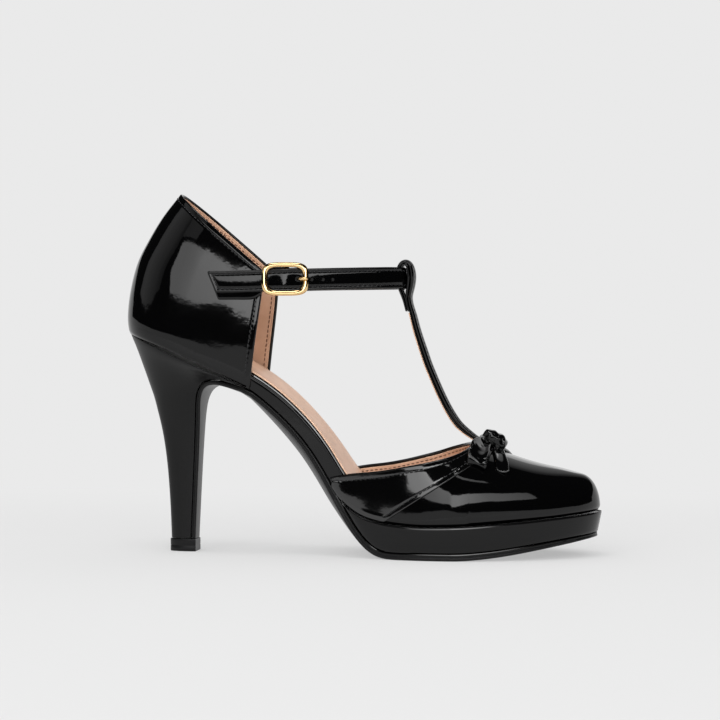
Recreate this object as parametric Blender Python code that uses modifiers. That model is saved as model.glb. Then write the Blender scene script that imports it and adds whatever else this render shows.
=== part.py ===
# Black patent T-strap platform pump, right foot. X runs from heel to toe, Y to the medial side, Z up.
import math
from collections import namedtuple

import bmesh
import bpy
import numpy as np
from mathutils import Vector

# Every size below is in millimetres; MM turns it into Blender's metres
MM = 0.001
GAP = 0.3
WALL = 1.8
STRIP_SOFTNESS = 0.3

# Lasted edge seen from above: half widths about the centre line, with round ends at heel and toe
Outline = namedtuple("Outline", "x lateral medial")
OUTLINE = [
    Outline(-80.0, 27.6, 27.4),
    Outline(-64.0, 27.1, 26.6),
    Outline(-48.0, 25.6, 24.7),
    Outline(-34.0, 23.4, 21.6),
    Outline(-20.0, 22.6, 19.6),
    Outline(-6.0, 26.0, 22.8),
    Outline(8.0, 31.6, 29.4),
    Outline(22.0, 36.6, 36.0),
    Outline(36.0, 39.4, 39.8),
    Outline(46.0, 40.0, 41.0),
]
HEEL_END = -109.6
TOE_END = 112.1
HEEL_ROUND = 2.3
TOE_FULLNESS = 1.5
TOE_SWING = 2.0
SWING_START = 20.0
ROUND_END = 1.6

# Side profiles: the bed under the upper, the insole's top and the outsole's upper face
Profile = namedtuple("Profile", "x z")
BED = [
    Profile(-110.0, 103.3),
    Profile(-90.4, 96.6),
    Profile(-70.9, 88.2),
    Profile(-56.9, 81.4),
    Profile(-48.3, 76.7),
    Profile(-41.9, 71.8),
    Profile(-35.6, 66.2),
    Profile(-29.1, 59.8),
    Profile(-22.6, 52.3),
    Profile(-16.0, 42.8),
    Profile(-9.2, 31.2),
    Profile(-7.0, 27.6),
    Profile(-0.6, 22.0),
    Profile(7.3, 18.1),
    Profile(19.0, 15.9),
    Profile(33.0, 15.0),
    Profile(51.7, 15.5),
    Profile(69.6, 16.9),
    Profile(87.6, 18.4),
    Profile(112.0, 20.6),
]
INSOLE_TOP = [
    Profile(-110.0, 113.0),
    Profile(-95.0, 108.2),
    Profile(-75.0, 100.0),
    Profile(-60.0, 92.8),
    Profile(-47.6, 86.0),
    Profile(-35.6, 77.6),
    Profile(-22.7, 65.5),
    Profile(-12.7, 53.2),
    Profile(-3.1, 38.7),
    Profile(5.0, 28.6),
    Profile(12.0, 24.0),
    Profile(20.0, 21.4),
    Profile(33.0, 20.2),
    Profile(51.7, 20.4),
    Profile(69.6, 21.6),
    Profile(87.6, 23.1),
    Profile(112.0, 25.2),
]
SOLE_TOP = [
    Profile(-48.3, 76.4),
    Profile(-41.9, 71.5),
    Profile(-35.6, 65.9),
    Profile(-29.1, 59.5),
    Profile(-22.6, 52.0),
    Profile(-16.0, 42.5),
    Profile(-9.2, 30.9),
    Profile(-5.2, 24.1),
    Profile(-0.4, 16.2),
    Profile(4.4, 9.8),
    Profile(9.0, 5.2),
    Profile(14.0, 3.0),
    Profile(33.0, 3.0),
    Profile(48.0, 3.0),
    Profile(60.0, 3.9),
    Profile(70.0, 5.3),
    Profile(80.0, 7.1),
    Profile(88.0, 8.6),
    Profile(100.0, 10.8),
    Profile(112.0, 12.6),
]

# Outsole: edge thickness and the rounding of its underside along the foot
SoleSection = namedtuple("SoleSection", "x edge crown")
SOLE_SECTIONS = [
    SoleSection(-48.0, 2.2, 2.2),
    SoleSection(-40.0, 2.3, 3.0),
    SoleSection(-26.0, 2.4, 3.6),
    SoleSection(-10.0, 2.6, 3.3),
    SoleSection(2.0, 2.9, 1.8),
    SoleSection(14.0, 3.0, 0.0),
    SoleSection(112.0, 3.0, 0.0),
]
SOLE_INSET = 1.6
SOLE_WAIST_END = -47.0

# Outsole turned over the heel breast: its face against the heel, from the waist down to the top piece
Breast = namedtuple("Breast", "x z half edge crown")
BREAST = [
    Breast(-52.6, 78.0, 23.4, 2.1, 1.6),
    Breast(-58.0, 79.5, 22.2, 2.0, 1.2),
    Breast(-63.0, 80.6, 20.4, 1.9, 0.8),
    Breast(-67.2, 80.9, 18.0, 1.9, 0.5),
    Breast(-70.6, 80.2, 15.8, 1.9, 0.4),
    Breast(-73.4, 78.4, 13.6, 1.9, 0.4),
    Breast(-75.3, 75.4, 11.6, 1.9, 0.4),
    Breast(-76.4, 71.0, 9.7, 1.9, 0.3),
    Breast(-76.9, 65.0, 7.8, 1.9, 0.3),
    Breast(-77.4, 56.0, 6.6, 1.9, 0.3),
    Breast(-78.2, 40.0, 5.7, 1.9, 0.2),
    Breast(-79.1, 20.0, 5.2, 1.9, 0.2),
    Breast(-79.7, 6.3, 5.0, 1.9, 0.2),
]

# Heel block: each section has a back point, a straight front edge and a half width
HeelSection = namedtuple("HeelSection", "back_x back_z front_x front_z half")
HEEL = [
    HeelSection(-109.3, 102.9, -50.2, 77.5, 27.2),
    HeelSection(-108.5, 100.9, -53.6, 78.7, 26.4),
    HeelSection(-107.3, 98.1, -58.4, 80.1, 24.7),
    HeelSection(-105.8, 94.2, -63.2, 81.2, 22.2),
    HeelSection(-103.7, 88.2, -67.5, 81.4, 19.2),
    HeelSection(-101.5, 82.0, -71.1, 80.6, 16.5),
    HeelSection(-99.9, 77.2, -73.9, 78.6, 14.0),
    HeelSection(-98.5, 73.2, -75.7, 75.6, 11.9),
    HeelSection(-97.2, 68.0, -76.8, 71.1, 10.0),
    HeelSection(-95.6, 61.6, -77.3, 65.0, 8.1),
    HeelSection(-93.9, 53.6, -77.8, 56.0, 6.8),
    HeelSection(-91.9, 38.6, -78.6, 40.0, 5.9),
    HeelSection(-90.6, 19.6, -79.5, 20.0, 5.4),
    HeelSection(-90.1, 6.3, -80.1, 6.3, 5.2),
]
HEEL_SQUARENESS = 2.3
TIP_BACK = -90.7
TIP_FRONT = -77.5
TIP_HALF = 5.5
TIP_HEIGHT = 6.0
TIP_EDGE = 0.4

# Platform: its side leans inwards towards the floor
PLATFORM_BACK = -5.4
PLATFORM_TOP_OUTSET = 0.5
PLATFORM_BOTTOM_INSET = 1.2
PLATFORM_LIFT = 0.5

# Board and sock inside the upper
BOARD_INSET = 2.7
BOARD_EDGE = 0.9
SOCK_INSET = 3.5
SOCK_THICKNESS = 1.1
SOCK_GAP = 0.4

# Vamp: ridge heights, topline heights and the fullness of each cross-section
VampSection = namedtuple("VampSection", "x ridge fullness lateral_top medial_top")
VAMP = [
    VampSection(-12.0, 124.0, 1.5, 35.8, 36.4),
    VampSection(-3.0, 123.0, 1.5, 37.7, 39.2),
    VampSection(11.0, 117.0, 1.55, 39.3, 40.9),
    VampSection(19.0, 108.0, 1.65, 40.6, 42.4),
    VampSection(26.5, 95.0, 1.8, 42.3, 44.2),
    VampSection(34.7, 77.5, 2.0, 44.3, 46.4),
    VampSection(40.0, 66.5, 2.1, 46.0, 48.2),
    VampSection(46.0, 57.2, 2.2, 48.3, 50.0),
    VampSection(52.0, 52.0, 2.2, 52.0, 52.0),
    VampSection(58.0, 49.2, 2.2, 52.0, 52.0),
    VampSection(65.0, 46.8, 2.2, 52.0, 52.0),
    VampSection(71.0, 44.8, 2.2, 52.0, 52.0),
    VampSection(78.0, 42.5, 2.2, 52.0, 52.0),
    VampSection(86.0, 40.5, 2.15, 52.0, 52.0),
    VampSection(94.0, 39.1, 2.1, 52.0, 52.0),
    VampSection(101.0, 37.7, 2.0, 52.0, 52.0),
    VampSection(112.0, 35.4, 2.0, 52.0, 52.0),
]
VAMP_BACK = -10.4
THROAT = 52.0
TUCK = 0.5
TUCK_RISE = 2.0
TOE_FAN_START = 60.0
TOE_FAN_SHIFT = 19.0
TOE_ROUNDING = 0.48
VAMP_ROWS = 8
ROW_SPREAD = 0.9
FEET_BEHIND = 13
FEET_AHEAD = 14
FEET_SPREAD = 1.7

# Side panel over the vamp: a step of the wall behind a straight seam
PANEL_RAISE = 0.7
PANEL_ROOT = 0.6
PANEL_EDGE = 0.5
PANEL_THROAT = 52.9
PANEL_BACK = -9.2
PANEL_FOOT_RISE = 1.2
SEAM_FOOT = (15.5, 17.6)
SEAM_SLOPE = 0.646
SEAM_BLOCK = 70.0

# Quarter: back and front edges, widths and the narrowing of the back with height
QuarterSection = namedtuple("QuarterSection", "level back_x front_x width narrowing")
QUARTER = [
    QuarterSection(0.00, -109.6, -48.4, 1.000, 0.00),
    QuarterSection(0.10, -110.6, -47.9, 1.025, 0.00),
    QuarterSection(0.22, -110.1, -47.2, 1.020, 0.03),
    QuarterSection(0.35, -108.6, -46.4, 1.000, 0.06),
    QuarterSection(0.52, -105.7, -45.2, 0.965, 0.11),
    QuarterSection(0.69, -99.9, -44.0, 0.925, 0.17),
    QuarterSection(0.86, -93.0, -42.9, 0.890, 0.25),
    QuarterSection(1.00, -85.6, -42.2, 0.865, 0.32),
]
QUARTER_BACK_TOP = 168.8
QUARTER_FRONT_TOP = 131.0

# T-strap: centre line from the vamp up the instep, around the loop and down to the loop's end
StrapPoint = namedtuple("StrapPoint", "x z thickness")
T_STRAP = [
    StrapPoint(57.2, 52.4, 1.8),
    StrapPoint(55.0, 53.5, 2.0),
    StrapPoint(52.2, 55.3, 2.4),
    StrapPoint(48.8, 57.9, 2.7),
    StrapPoint(45.8, 60.8, 2.8),
    StrapPoint(42.3, 66.1, 2.8),
    StrapPoint(39.3, 71.7, 2.7),
    StrapPoint(36.7, 77.3, 2.7),
    StrapPoint(34.3, 82.9, 2.7),
    StrapPoint(32.0, 88.5, 2.7),
    StrapPoint(30.1, 94.1, 2.7),
    StrapPoint(28.2, 99.8, 2.6),
    StrapPoint(26.5, 105.4, 2.5),
    StrapPoint(25.1, 111.0, 2.3),
    StrapPoint(24.3, 116.6, 2.0),
    StrapPoint(24.5, 121.5, 1.7),
    StrapPoint(25.3, 126.5, 1.6),
    StrapPoint(25.4, 130.4, 1.6),
    StrapPoint(24.6, 134.0, 1.6),
    StrapPoint(22.6, 136.4, 1.6),
    StrapPoint(20.4, 136.3, 1.6),
    StrapPoint(18.4, 134.2, 1.6),
    StrapPoint(17.6, 130.4, 1.6),
    StrapPoint(18.0, 125.6, 1.6),
    StrapPoint(19.3, 121.0, 1.5),
    StrapPoint(20.8, 117.2, 1.4),
    StrapPoint(22.2, 112.8, 1.2),
]
T_STRAP_HALF = 4.6
T_STRAP_FOOT_HALF = 4.0
FOOT_RINGS = 6

# Ankle strap: an oval around the instep that runs back along both sides of the quarter
STRAP_HALF = 4.6
STRAP_THICKNESS = 1.8
STRAP_CENTRE_X = -57.0
STRAP_FRONT = 21.6
STRAP_LATERAL = 27.7
STRAP_MEDIAL = 25.5
STRAP_SIDE_Z = 126.7
STRAP_FRONT_Z = 128.9
TAIL_END = -64.2
TAIL_SLANT = 1.5
SLANT_RINGS = 8
STRAP_MEDIAL_END = -60.0

# Buckle: rounded frame over the strap, with a staple-shaped centre bar behind it
BUCKLE_X = -31.2
BUCKLE_Z = 127.2
BUCKLE_OUTER = (10.4, 7.3)
BUCKLE_INNER = (8.4, 5.6)
BUCKLE_SQUARENESS = 4.4
BUCKLE_DEPTH = 1.0
BUCKLE_SPAN = 19.0
STRAP_BUMP = 1.2
STRAP_BUMP_LENGTH = 5.2
BAR_RADIUS = 0.7
BAR_CORNER = 0.7
PRONG_RADIUS = 0.75
PRONG_HOLE_REACH = 5.9
TAB_THICKNESS = 0.9
TAB_HALF = 3.9
TAB_GAP = 0.4
TAB_DROP = 0.6
TAB_BACK = -57.0
PRONG_HOLE = (1.5, 1.25)
PRONG_HOLE_SPAN = (-9.0, 4.0)
TAB_BENDS = (-38.0, -34.6)
TAB_RETURN = 3.0
# Prong: from the centre bar through the strap's hole, counted from the bar, then over the frame's right side
ProngPoint = namedtuple("ProngPoint", "along out")
PRONG_BEHIND = [
    ProngPoint(2.9, -0.2),
    ProngPoint(4.2, -0.6),
    ProngPoint(5.2, -0.5),
    ProngPoint(5.8, 0.6),
    ProngPoint(5.9, 2.2),
    ProngPoint(6.2, 3.8),
]
PRONG_BEFORE = [
    ProngPoint(7.0, -0.6),
    ProngPoint(8.2, 0.0),
    ProngPoint(9.5, 0.15),
    ProngPoint(10.6, -0.1),
]

# Bow on the throat
KNOT_CENTRE = (64.4, 52.6)
KNOT_SIZE = (13.6, 8.2, 7.2)
KNOT_TILT = math.radians(26.0)
RIBBON_THICKNESS = 1.0
LOOP_HALF = 4.8
LOOP_X = 58.6
TAIL_HALF = 3.5
TAIL_X = 67.8
KNOT_SIDE = 4.5
KNOT_WAIST = 0.86
KNOT_SQUARENESS = 0.75
RIBBON_LEAN = -0.37
LOOP_PINCH = 1.4
PINCH_LENGTH = 6.0
TAIL_PINCH = 0.9
TAIL_CUT = 0.25
# Ribbon: distance from the shoe's centre line and height over the vamp, along one loop and one tail
RibbonPoint = namedtuple("RibbonPoint", "reach lift")
BOW_LOOP = [
    RibbonPoint(4.7, 1.5),
    RibbonPoint(9.0, 1.3),
    RibbonPoint(14.0, 1.3),
    RibbonPoint(19.0, 1.3),
    RibbonPoint(23.0, 1.4),
    RibbonPoint(25.1, 1.7),
    RibbonPoint(26.0, 3.0),
    RibbonPoint(25.1, 4.2),
    RibbonPoint(23.0, 5.0),
    RibbonPoint(18.0, 5.6),
    RibbonPoint(13.0, 5.8),
    RibbonPoint(8.5, 5.2),
    RibbonPoint(4.7, 4.0),
]
BOW_TAIL = [
    RibbonPoint(4.7, 1.8),
    RibbonPoint(8.0, 1.5),
    RibbonPoint(12.0, 1.2),
    RibbonPoint(17.0, 1.1),
    RibbonPoint(21.0, 1.1),
    RibbonPoint(26.2, 1.1),
]


def clear_scene():
    for item in list(bpy.data.objects):
        bpy.data.objects.remove(item, do_unlink=True)


def smooth(rows, key, column, at):
    """Monotone cubic curve through one column of a table."""
    xs = [getattr(row, key) for row in rows]
    ys = [getattr(row, column) for row in rows]
    at = min(max(at, xs[0]), xs[-1])
    steps = [b - a for a, b in zip(xs, xs[1:])]
    rises = [(b - a) / h for a, b, h in zip(ys, ys[1:], steps)]
    slopes = [rises[0]]
    for left, right in zip(rises, rises[1:]):
        slopes.append(0.0 if left * right <= 0 else 2 * left * right / (left + right))
    slopes.append(rises[-1])
    cell = 0
    while cell < len(steps) - 1 and at > xs[cell + 1]:
        cell += 1
    h = steps[cell]
    t = (at - xs[cell]) / h
    return (
        ys[cell] * (1 + 2 * t) * (1 - t) ** 2
        + slopes[cell] * h * t * (1 - t) ** 2
        + ys[cell + 1] * t * t * (3 - 2 * t)
        + slopes[cell + 1] * h * t * t * (t - 1)
    )


def profile(rows, x):
    return smooth(rows, "x", "z", x)


def slope_normal(rows, x):
    """Unit normal (x, z) of a side profile, on its upper side."""
    rise = (profile(rows, x + 0.2) - profile(rows, x - 0.2)) / 0.4
    length = math.hypot(1.0, rise)
    return -rise / length, 1.0 / length


def through_points(points, count):
    """Smooth polyline through a few points, evenly spaced; extra columns are carried along."""
    points = np.array(points, float)
    dense = []
    for i in range(len(points) - 1):
        before = points[max(i - 1, 0)]
        start, end = points[i], points[i + 1]
        after = points[min(i + 2, len(points) - 1)]
        for t in np.linspace(0, 1, 12, endpoint=False):
            dense.append(
                0.5 * (2 * start + (end - before) * t
                       + (2 * before - 5 * start + 4 * end - after) * t ** 2
                       + (3 * start - before - 3 * end + after) * t ** 3)
            )
    dense.append(points[-1])
    return even_steps(np.array(dense), count)


def even_steps(line, count):
    steps = np.linalg.norm(np.diff(line[:, :2], axis=0), axis=1)
    along = np.concatenate([[0.0], np.cumsum(steps)])
    places = np.linspace(0, along[-1], count)
    return np.stack([np.interp(places, along, line[:, k]) for k in range(line.shape[1])], axis=1)


def centre_line(x):
    return TOE_SWING * max(0.0, (x - SWING_START) / (TOE_END - SWING_START)) ** 2


def half_width(side, x):
    first, last = OUTLINE[0], OUTLINE[-1]
    if x < first.x:
        reach = min(1.0, (first.x - x) / (first.x - HEEL_END))
        return getattr(first, side) * (1 - reach ** HEEL_ROUND) ** (1 / HEEL_ROUND)
    if x > last.x:
        reach = min(1.0, (x - last.x) / (TOE_END - last.x))
        return getattr(last, side) * (1 - reach ** TOE_FULLNESS) ** 0.5
    return smooth(OUTLINE, "x", side, x)


def lasted_edge(side, inset):
    """One side of the lasted edge from heel to toe, moved inwards by a distance."""
    sign = -1.0 if side == "lateral" else 1.0
    turns = np.linspace(0, math.pi, 361)
    xs = HEEL_END + (TOE_END - HEEL_END) * (1 - np.cos(turns)) / 2
    line = np.array([(x, centre_line(x) + sign * half_width(side, x)) for x in xs])
    along = np.gradient(line, axis=0)
    along[0] = (0.0, sign)
    along[-1] = (0.0, -sign)
    along /= np.linalg.norm(along, axis=1)[:, None]
    outward = np.stack([-along[:, 1], along[:, 0]], axis=1) * sign
    return line - outward * inset


def rail(side, inset, start, stop, count):
    """Evenly spaced points on a lasted edge between two places; None stops short of a round end."""
    line = lasted_edge(side, inset)
    keep = np.ones(len(line), bool)
    if start is not None:
        keep &= line[:, 0] >= start
    if stop is not None:
        keep &= line[:, 0] <= stop
    line = line[keep]
    if start is None:
        line = line[np.abs(line[:, 1] - line[0, 1]) > ROUND_END]
    if stop is None:
        line = line[np.abs(line[:, 1] - line[-1, 1]) > ROUND_END]
    return even_steps(line, count)


def new_object(name, mesh_or_data, collection, material):
    item = bpy.data.objects.new(name, mesh_or_data)
    collection.objects.link(item)
    if material is not None:
        item.data.materials.append(material)
    return item


def mesh_from(name, points, faces):
    mesh = bpy.data.meshes.new(name)
    mesh.from_pydata([tuple(c * MM for c in p) for p in points], [], faces)
    work = bmesh.new()
    work.from_mesh(mesh)
    bmesh.ops.remove_doubles(work, verts=work.verts, dist=1e-6)
    bmesh.ops.dissolve_degenerate(work, dist=1e-7, edges=work.edges)
    work.to_mesh(mesh)
    work.free()
    return mesh


def closed_mesh(name, points, faces):
    mesh = mesh_from(name, points, faces)
    work = bmesh.new()
    work.from_mesh(mesh)
    bmesh.ops.recalc_face_normals(work, faces=work.faces)
    if work.calc_volume(signed=True) < 0:
        bmesh.ops.reverse_faces(work, faces=work.faces)
    work.to_mesh(mesh)
    work.free()
    return mesh


def loft(name, rings, around=False):
    """Closed body through rings of equal length; around joins the last ring to the first."""
    size = len(rings[0])
    points = [p for ring in rings for p in ring]
    faces = []
    spans = len(rings) if around else len(rings) - 1
    for r in range(spans):
        here = r * size
        there = ((r + 1) % len(rings)) * size
        for k in range(size):
            nxt = (k + 1) % size
            faces.append((here + k, here + nxt, there + nxt, there + k))
    if not around:
        faces.append(tuple(range(size)))
        faces.append(tuple(range(len(points) - size, len(points))))
    return closed_mesh(name, points, faces)


def ribbon_rings(centres, sides, halves, thicknesses):
    """Rings of a flat strip with softened edges along a path."""
    centres = np.array(centres, float)
    along = np.gradient(centres, axis=0)
    rings = []
    for centre, tangent, side, half, thick in zip(centres, along, sides, halves, thicknesses):
        tangent = tangent / np.linalg.norm(tangent)
        side = np.array(side, float)
        side = side - tangent * side.dot(tangent)
        side /= np.linalg.norm(side)
        normal = np.cross(tangent, side)
        soft = STRIP_SOFTNESS * thick
        corners = [
            (half, thick / 2 - soft), (half - soft, thick / 2),
            (soft - half, thick / 2), (-half, thick / 2 - soft),
            (-half, soft - thick / 2), (soft - half, -thick / 2),
            (half - soft, -thick / 2), (half, soft - thick / 2),
        ]
        rings.append([tuple(centre + side * a + normal * b) for a, b in corners])
    return rings


def tube_rings(centres, radius, count):
    centres = np.array(centres, float)
    along = np.gradient(centres, axis=0)
    rings = []
    for centre, tangent in zip(centres, along):
        tangent = tangent / np.linalg.norm(tangent)
        across = np.array((0.0, 0.0, 1.0))
        if abs(tangent[2]) > 0.8:
            across = np.array((1.0, 0.0, 0.0))
        first = across - tangent * across.dot(tangent)
        first /= np.linalg.norm(first)
        second = np.cross(tangent, first)
        turns = np.linspace(0, 2 * math.pi, count, endpoint=False)
        rings.append([tuple(centre + radius * (math.cos(a) * first + math.sin(a) * second)) for a in turns])
    return rings


def outsole_rings(count):
    lateral = rail("lateral", SOLE_INSET, SOLE_WAIST_END, None, count)
    medial = rail("medial", SOLE_INSET, SOLE_WAIST_END, None, count)
    spread = (-1.0, -0.7, -0.35, 0.0, 0.35, 0.7, 1.0)
    rings = []
    for (lx, ly), (mx, my) in zip(lateral[::-1], medial[::-1]):
        top = [(lx, ly, profile(SOLE_TOP, lx)), (mx, my, profile(SOLE_TOP, mx))]
        under = []
        for share in spread:
            t = (1 - share) / 2
            x = mx + (lx - mx) * t
            y = my + (ly - my) * t
            edge = smooth(SOLE_SECTIONS, "x", "edge", x)
            crown = smooth(SOLE_SECTIONS, "x", "crown", x)
            drop = edge + crown * (1 - share * share)
            nx, nz = slope_normal(SOLE_TOP, x)
            under.append((x - nx * drop, y, profile(SOLE_TOP, x) - nz * drop))
        rings.append(top + under[::-1])
    rows = [(b.x, b.z, b.half, b.edge, b.crown) for b in BREAST]
    line = through_points(rows, 26)
    along = np.gradient(line[:, :2], axis=0)
    along /= np.linalg.norm(along, axis=1)[:, None]
    for (x, z, half, edge, crown), (ax, az) in zip(line, along):
        nx, nz = az, -ax
        top = [(x, -half, z), (x, half, z)]
        under = []
        for share in spread:
            drop = edge + crown * (1 - share * share)
            under.append((x - nx * drop, share * half, z - nz * drop))
        rings.append(top + under[::-1])
    return rings


def platform_rings(count):
    rings = []
    sides = {}
    for side in ("lateral", "medial"):
        sides[side, "top"] = rail(side, -PLATFORM_TOP_OUTSET, PLATFORM_BACK, None, count)
        sides[side, "bottom"] = rail(side, PLATFORM_BOTTOM_INSET, PLATFORM_BACK, None, count)
    for i in range(count):
        ring = []
        for side in ("lateral", "medial"):
            tx, ty = sides[side, "top"][i]
            bx, by = sides[side, "bottom"][i]
            outer = 1.0 if side == "medial" else -1.0
            top = profile(BED, tx)
            bottom = profile(SOLE_TOP, bx) + PLATFORM_LIFT / slope_normal(SOLE_TOP, bx)[1]
            soft = min(0.5, 0.2 * (top - bottom))
            column = [
                (bx, by, bottom),
                (tx, ty, top - soft),
                (tx, ty - outer * soft, top),
            ]
            ring += column if side == "lateral" else column[::-1]
        rings.append(ring)
    return rings


def slab_rings(inset, bottom_of, top_of, edge, count):
    """Flat layer along the whole foot with a softened upper edge."""
    lateral = rail("lateral", inset, None, None, count)
    medial = rail("medial", inset, None, None, count)
    rings = []
    for (lx, ly), (mx, my) in zip(lateral, medial):
        soft = min(edge, 0.2 * (my - ly))
        rings.append([
            (lx, ly, bottom_of(lx)),
            (lx, ly, top_of(lx) - edge),
            (lx, ly + soft, top_of(lx)),
            (mx, my - soft, top_of(mx)),
            (mx, my, top_of(mx) - edge),
            (mx, my, bottom_of(mx)),
        ])
    return rings


def board_bottom(x):
    return profile(BED, x) + GAP


def board_top(x):
    return sock_bottom(x) - SOCK_GAP / slope_normal(INSOLE_TOP, x)[1]


def sock_bottom(x):
    return profile(INSOLE_TOP, x) - SOCK_THICKNESS


def sock_top(x):
    return profile(INSOLE_TOP, x)


def heel_rings(levels, around):
    rows = [(s.back_x, s.back_z, s.front_x, s.front_z, s.half) for s in HEEL]
    table = np.array(rows)
    places = np.linspace(0, len(rows) - 1, levels)
    rings = []
    for place in places:
        bx, bz, fx, fz, half = [np.interp(place, range(len(rows)), table[:, k]) for k in range(5)]
        section = d_section(around)
        rings.append([(fx + (bx - fx) * r, half * w, fz + (bz - fz) * r) for r, w in section])
    return rings


def d_section(count):
    """D shape of the heel as shares of its length, from the straight front edge, and of its half width."""
    power = 2 / HEEL_SQUARENESS
    turns = np.linspace(-math.pi / 2, math.pi / 2, count)
    return [(math.cos(t) ** power, math.copysign(abs(math.sin(t)) ** power, t)) for t in turns]


def tip_rings():
    rings = []
    for z, inset in ((0.0, TIP_EDGE), (TIP_EDGE, 0.0), (TIP_HEIGHT - TIP_EDGE, 0.0), (TIP_HEIGHT, TIP_EDGE)):
        length = TIP_FRONT - TIP_BACK - 2 * inset
        rings.append([(TIP_FRONT - inset - length * r, (TIP_HALF - inset) * w, z) for r, w in d_section(15)])
    return rings


def vamp_column(name, x):
    return smooth(VAMP, "x", name, x)


def dome(reach, fullness):
    reach = min(max(reach, 0.0), 1.0)
    return (1 - (1 - reach) ** fullness) ** (1 / fullness)


def vamp_height(x, y):
    """Height of the vamp's outer face above a place behind the toe fan."""
    side = "lateral" if y < centre_line(x) else "medial"
    wide = half_width(side, x)
    reach = 1 - abs(y - centre_line(x)) / wide
    foot = profile(BED, x) + GAP
    return foot + (vamp_column("ridge", x) - foot) * dome(reach, vamp_column("fullness", x))


def vamp_station(side, foot_x, throat, inset_top, start_rise):
    """Column of points from the lasted edge, or a little above it, up to the ridge or the topline."""
    past = max(0.0, foot_x - TOE_FAN_START) / (TOE_END - TOE_FAN_START)
    ridge_x = foot_x - TOE_FAN_SHIFT * past * past
    ridge_y = centre_line(ridge_x)
    sign = -1.0 if side == "lateral" else 1.0
    foot_y = centre_line(foot_x) + sign * half_width(side, foot_x)
    share = 1.0 - (1.0 - TOE_ROUNDING) * past ** 3
    full = vamp_column("fullness", foot_x)
    foot = profile(BED, foot_x) + GAP
    reach_end = 1.0
    if foot_x < throat:
        top = vamp_column(side + "_top", foot_x) - inset_top
        rise = (top - foot) / (vamp_column("ridge", foot_x) - foot)
        reach_end = 1 - (1 - min(rise, 1.0) ** full) ** (1 / full)
    turn_end = math.acos((1 - reach_end) ** (1 / ROW_SPREAD))
    start = start_rise / (vamp_column("ridge", foot_x) - foot)
    reach_start = share * (1 - (1 - start ** full) ** (1 / full))
    turn_start = math.acos((1 - reach_start) ** (1 / ROW_SPREAD))
    column = []
    for k in range(VAMP_ROWS + 1):
        turn = turn_start + (turn_end - turn_start) * k / VAMP_ROWS
        reach = 1 - math.cos(turn) ** ROW_SPREAD
        x = foot_x + (ridge_x - foot_x) * reach
        y = foot_y + (ridge_y - foot_y) * reach
        z = foot + (vamp_column("ridge", x) - foot) * dome(reach / share, full)
        tuck = TUCK * max(0.0, 1 - (z - foot) / TUCK_RISE) ** 2
        length = math.hypot(ridge_x - foot_x, ridge_y - foot_y)
        x += (ridge_x - foot_x) / length * tuck
        y += (ridge_y - foot_y) / length * tuck
        column.append((x, y, z))
    return column


def vamp_feet(back, throat):
    """Places of the vamp's columns: closer together towards the throat, then even steps to the toe."""
    places = []
    for k in range(FEET_BEHIND, 0, -1):
        places.append(throat - (throat - back) * (k / FEET_BEHIND) ** FEET_SPREAD)
    line = lasted_edge("lateral", 0.0)
    line = line[line[:, 0] > throat]
    start = np.array([[throat, centre_line(throat) - half_width("lateral", throat)]])
    places += [x for x, y in even_steps(np.concatenate([start, line]), FEET_AHEAD)]
    return places


def vamp_surface(name, back, throat, inset_top, start_rise):
    places = vamp_feet(back, throat)
    columns = [vamp_station("lateral", x, throat, inset_top, start_rise) for x in places]
    columns += [vamp_station("medial", x, throat, inset_top, start_rise) for x in places[-2::-1]]
    return sheet(name, columns)


def sheet(name, columns):
    """Open surface through columns of points, facing away from the inside of the shoe."""
    rows = len(columns[0])
    points = [p for column in columns for p in column]
    faces = []
    for c in range(len(columns) - 1):
        for r in range(rows - 1):
            a = c * rows + r
            b = a + rows
            faces.append((a, b, b + 1, a + 1))
    return mesh_from(name, points, faces)


def quarter_columns(around, rows):
    """Columns of the heel cup from the medial front edge around the back to the lateral one."""
    feet = []
    for side in ("medial", "lateral"):
        line = lasted_edge(side, 0.0)
        line = line[line[:, 0] <= QUARTER[0].front_x]
        sign = -1.0 if side == "lateral" else 1.0
        end_x = QUARTER[0].front_x
        end = np.array([[end_x, centre_line(end_x) + sign * half_width(side, end_x)]])
        steps = even_steps(np.concatenate([line, end]), around)
        feet += [tuple(p) for p in (steps[::-1] if side == "medial" else steps[1:])]
    first = QUARTER[0]
    columns = []
    for foot_x, foot_y in feet:
        u = (foot_x - first.back_x) / (first.front_x - first.back_x)
        foot_z = profile(BED, foot_x) + GAP
        top_z = QUARTER_BACK_TOP + (QUARTER_FRONT_TOP - QUARTER_BACK_TOP) * u
        column = []
        for k in range(rows + 1):
            level = k / rows
            back = smooth(QUARTER, "level", "back_x", level)
            front = smooth(QUARTER, "level", "front_x", level)
            wide = smooth(QUARTER, "level", "width", level)
            narrow = smooth(QUARTER, "level", "narrowing", level)
            x = back + (front - back) * u
            y = foot_y * wide * (1 - narrow * (1 - u) ** 2)
            column.append((x, y, foot_z + (top_z - foot_z) * level))
        columns.append(column)
    return columns


def t_strap_rings(count):
    line = through_points([(p.x, p.z, p.thickness) for p in T_STRAP], count)
    centres = [(x, 0.0, z) for x, z, thick in line]
    widen = np.minimum(1.0, np.arange(count) / FOOT_RINGS)
    halves = T_STRAP_FOOT_HALF + (T_STRAP_HALF - T_STRAP_FOOT_HALF) * widen
    rings = ribbon_rings(centres, [(0, 1, 0)] * count, halves, line[:, 2])
    return [[(x, y + centre_line(x), z) for x, y, z in ring] for ring in rings]


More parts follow.
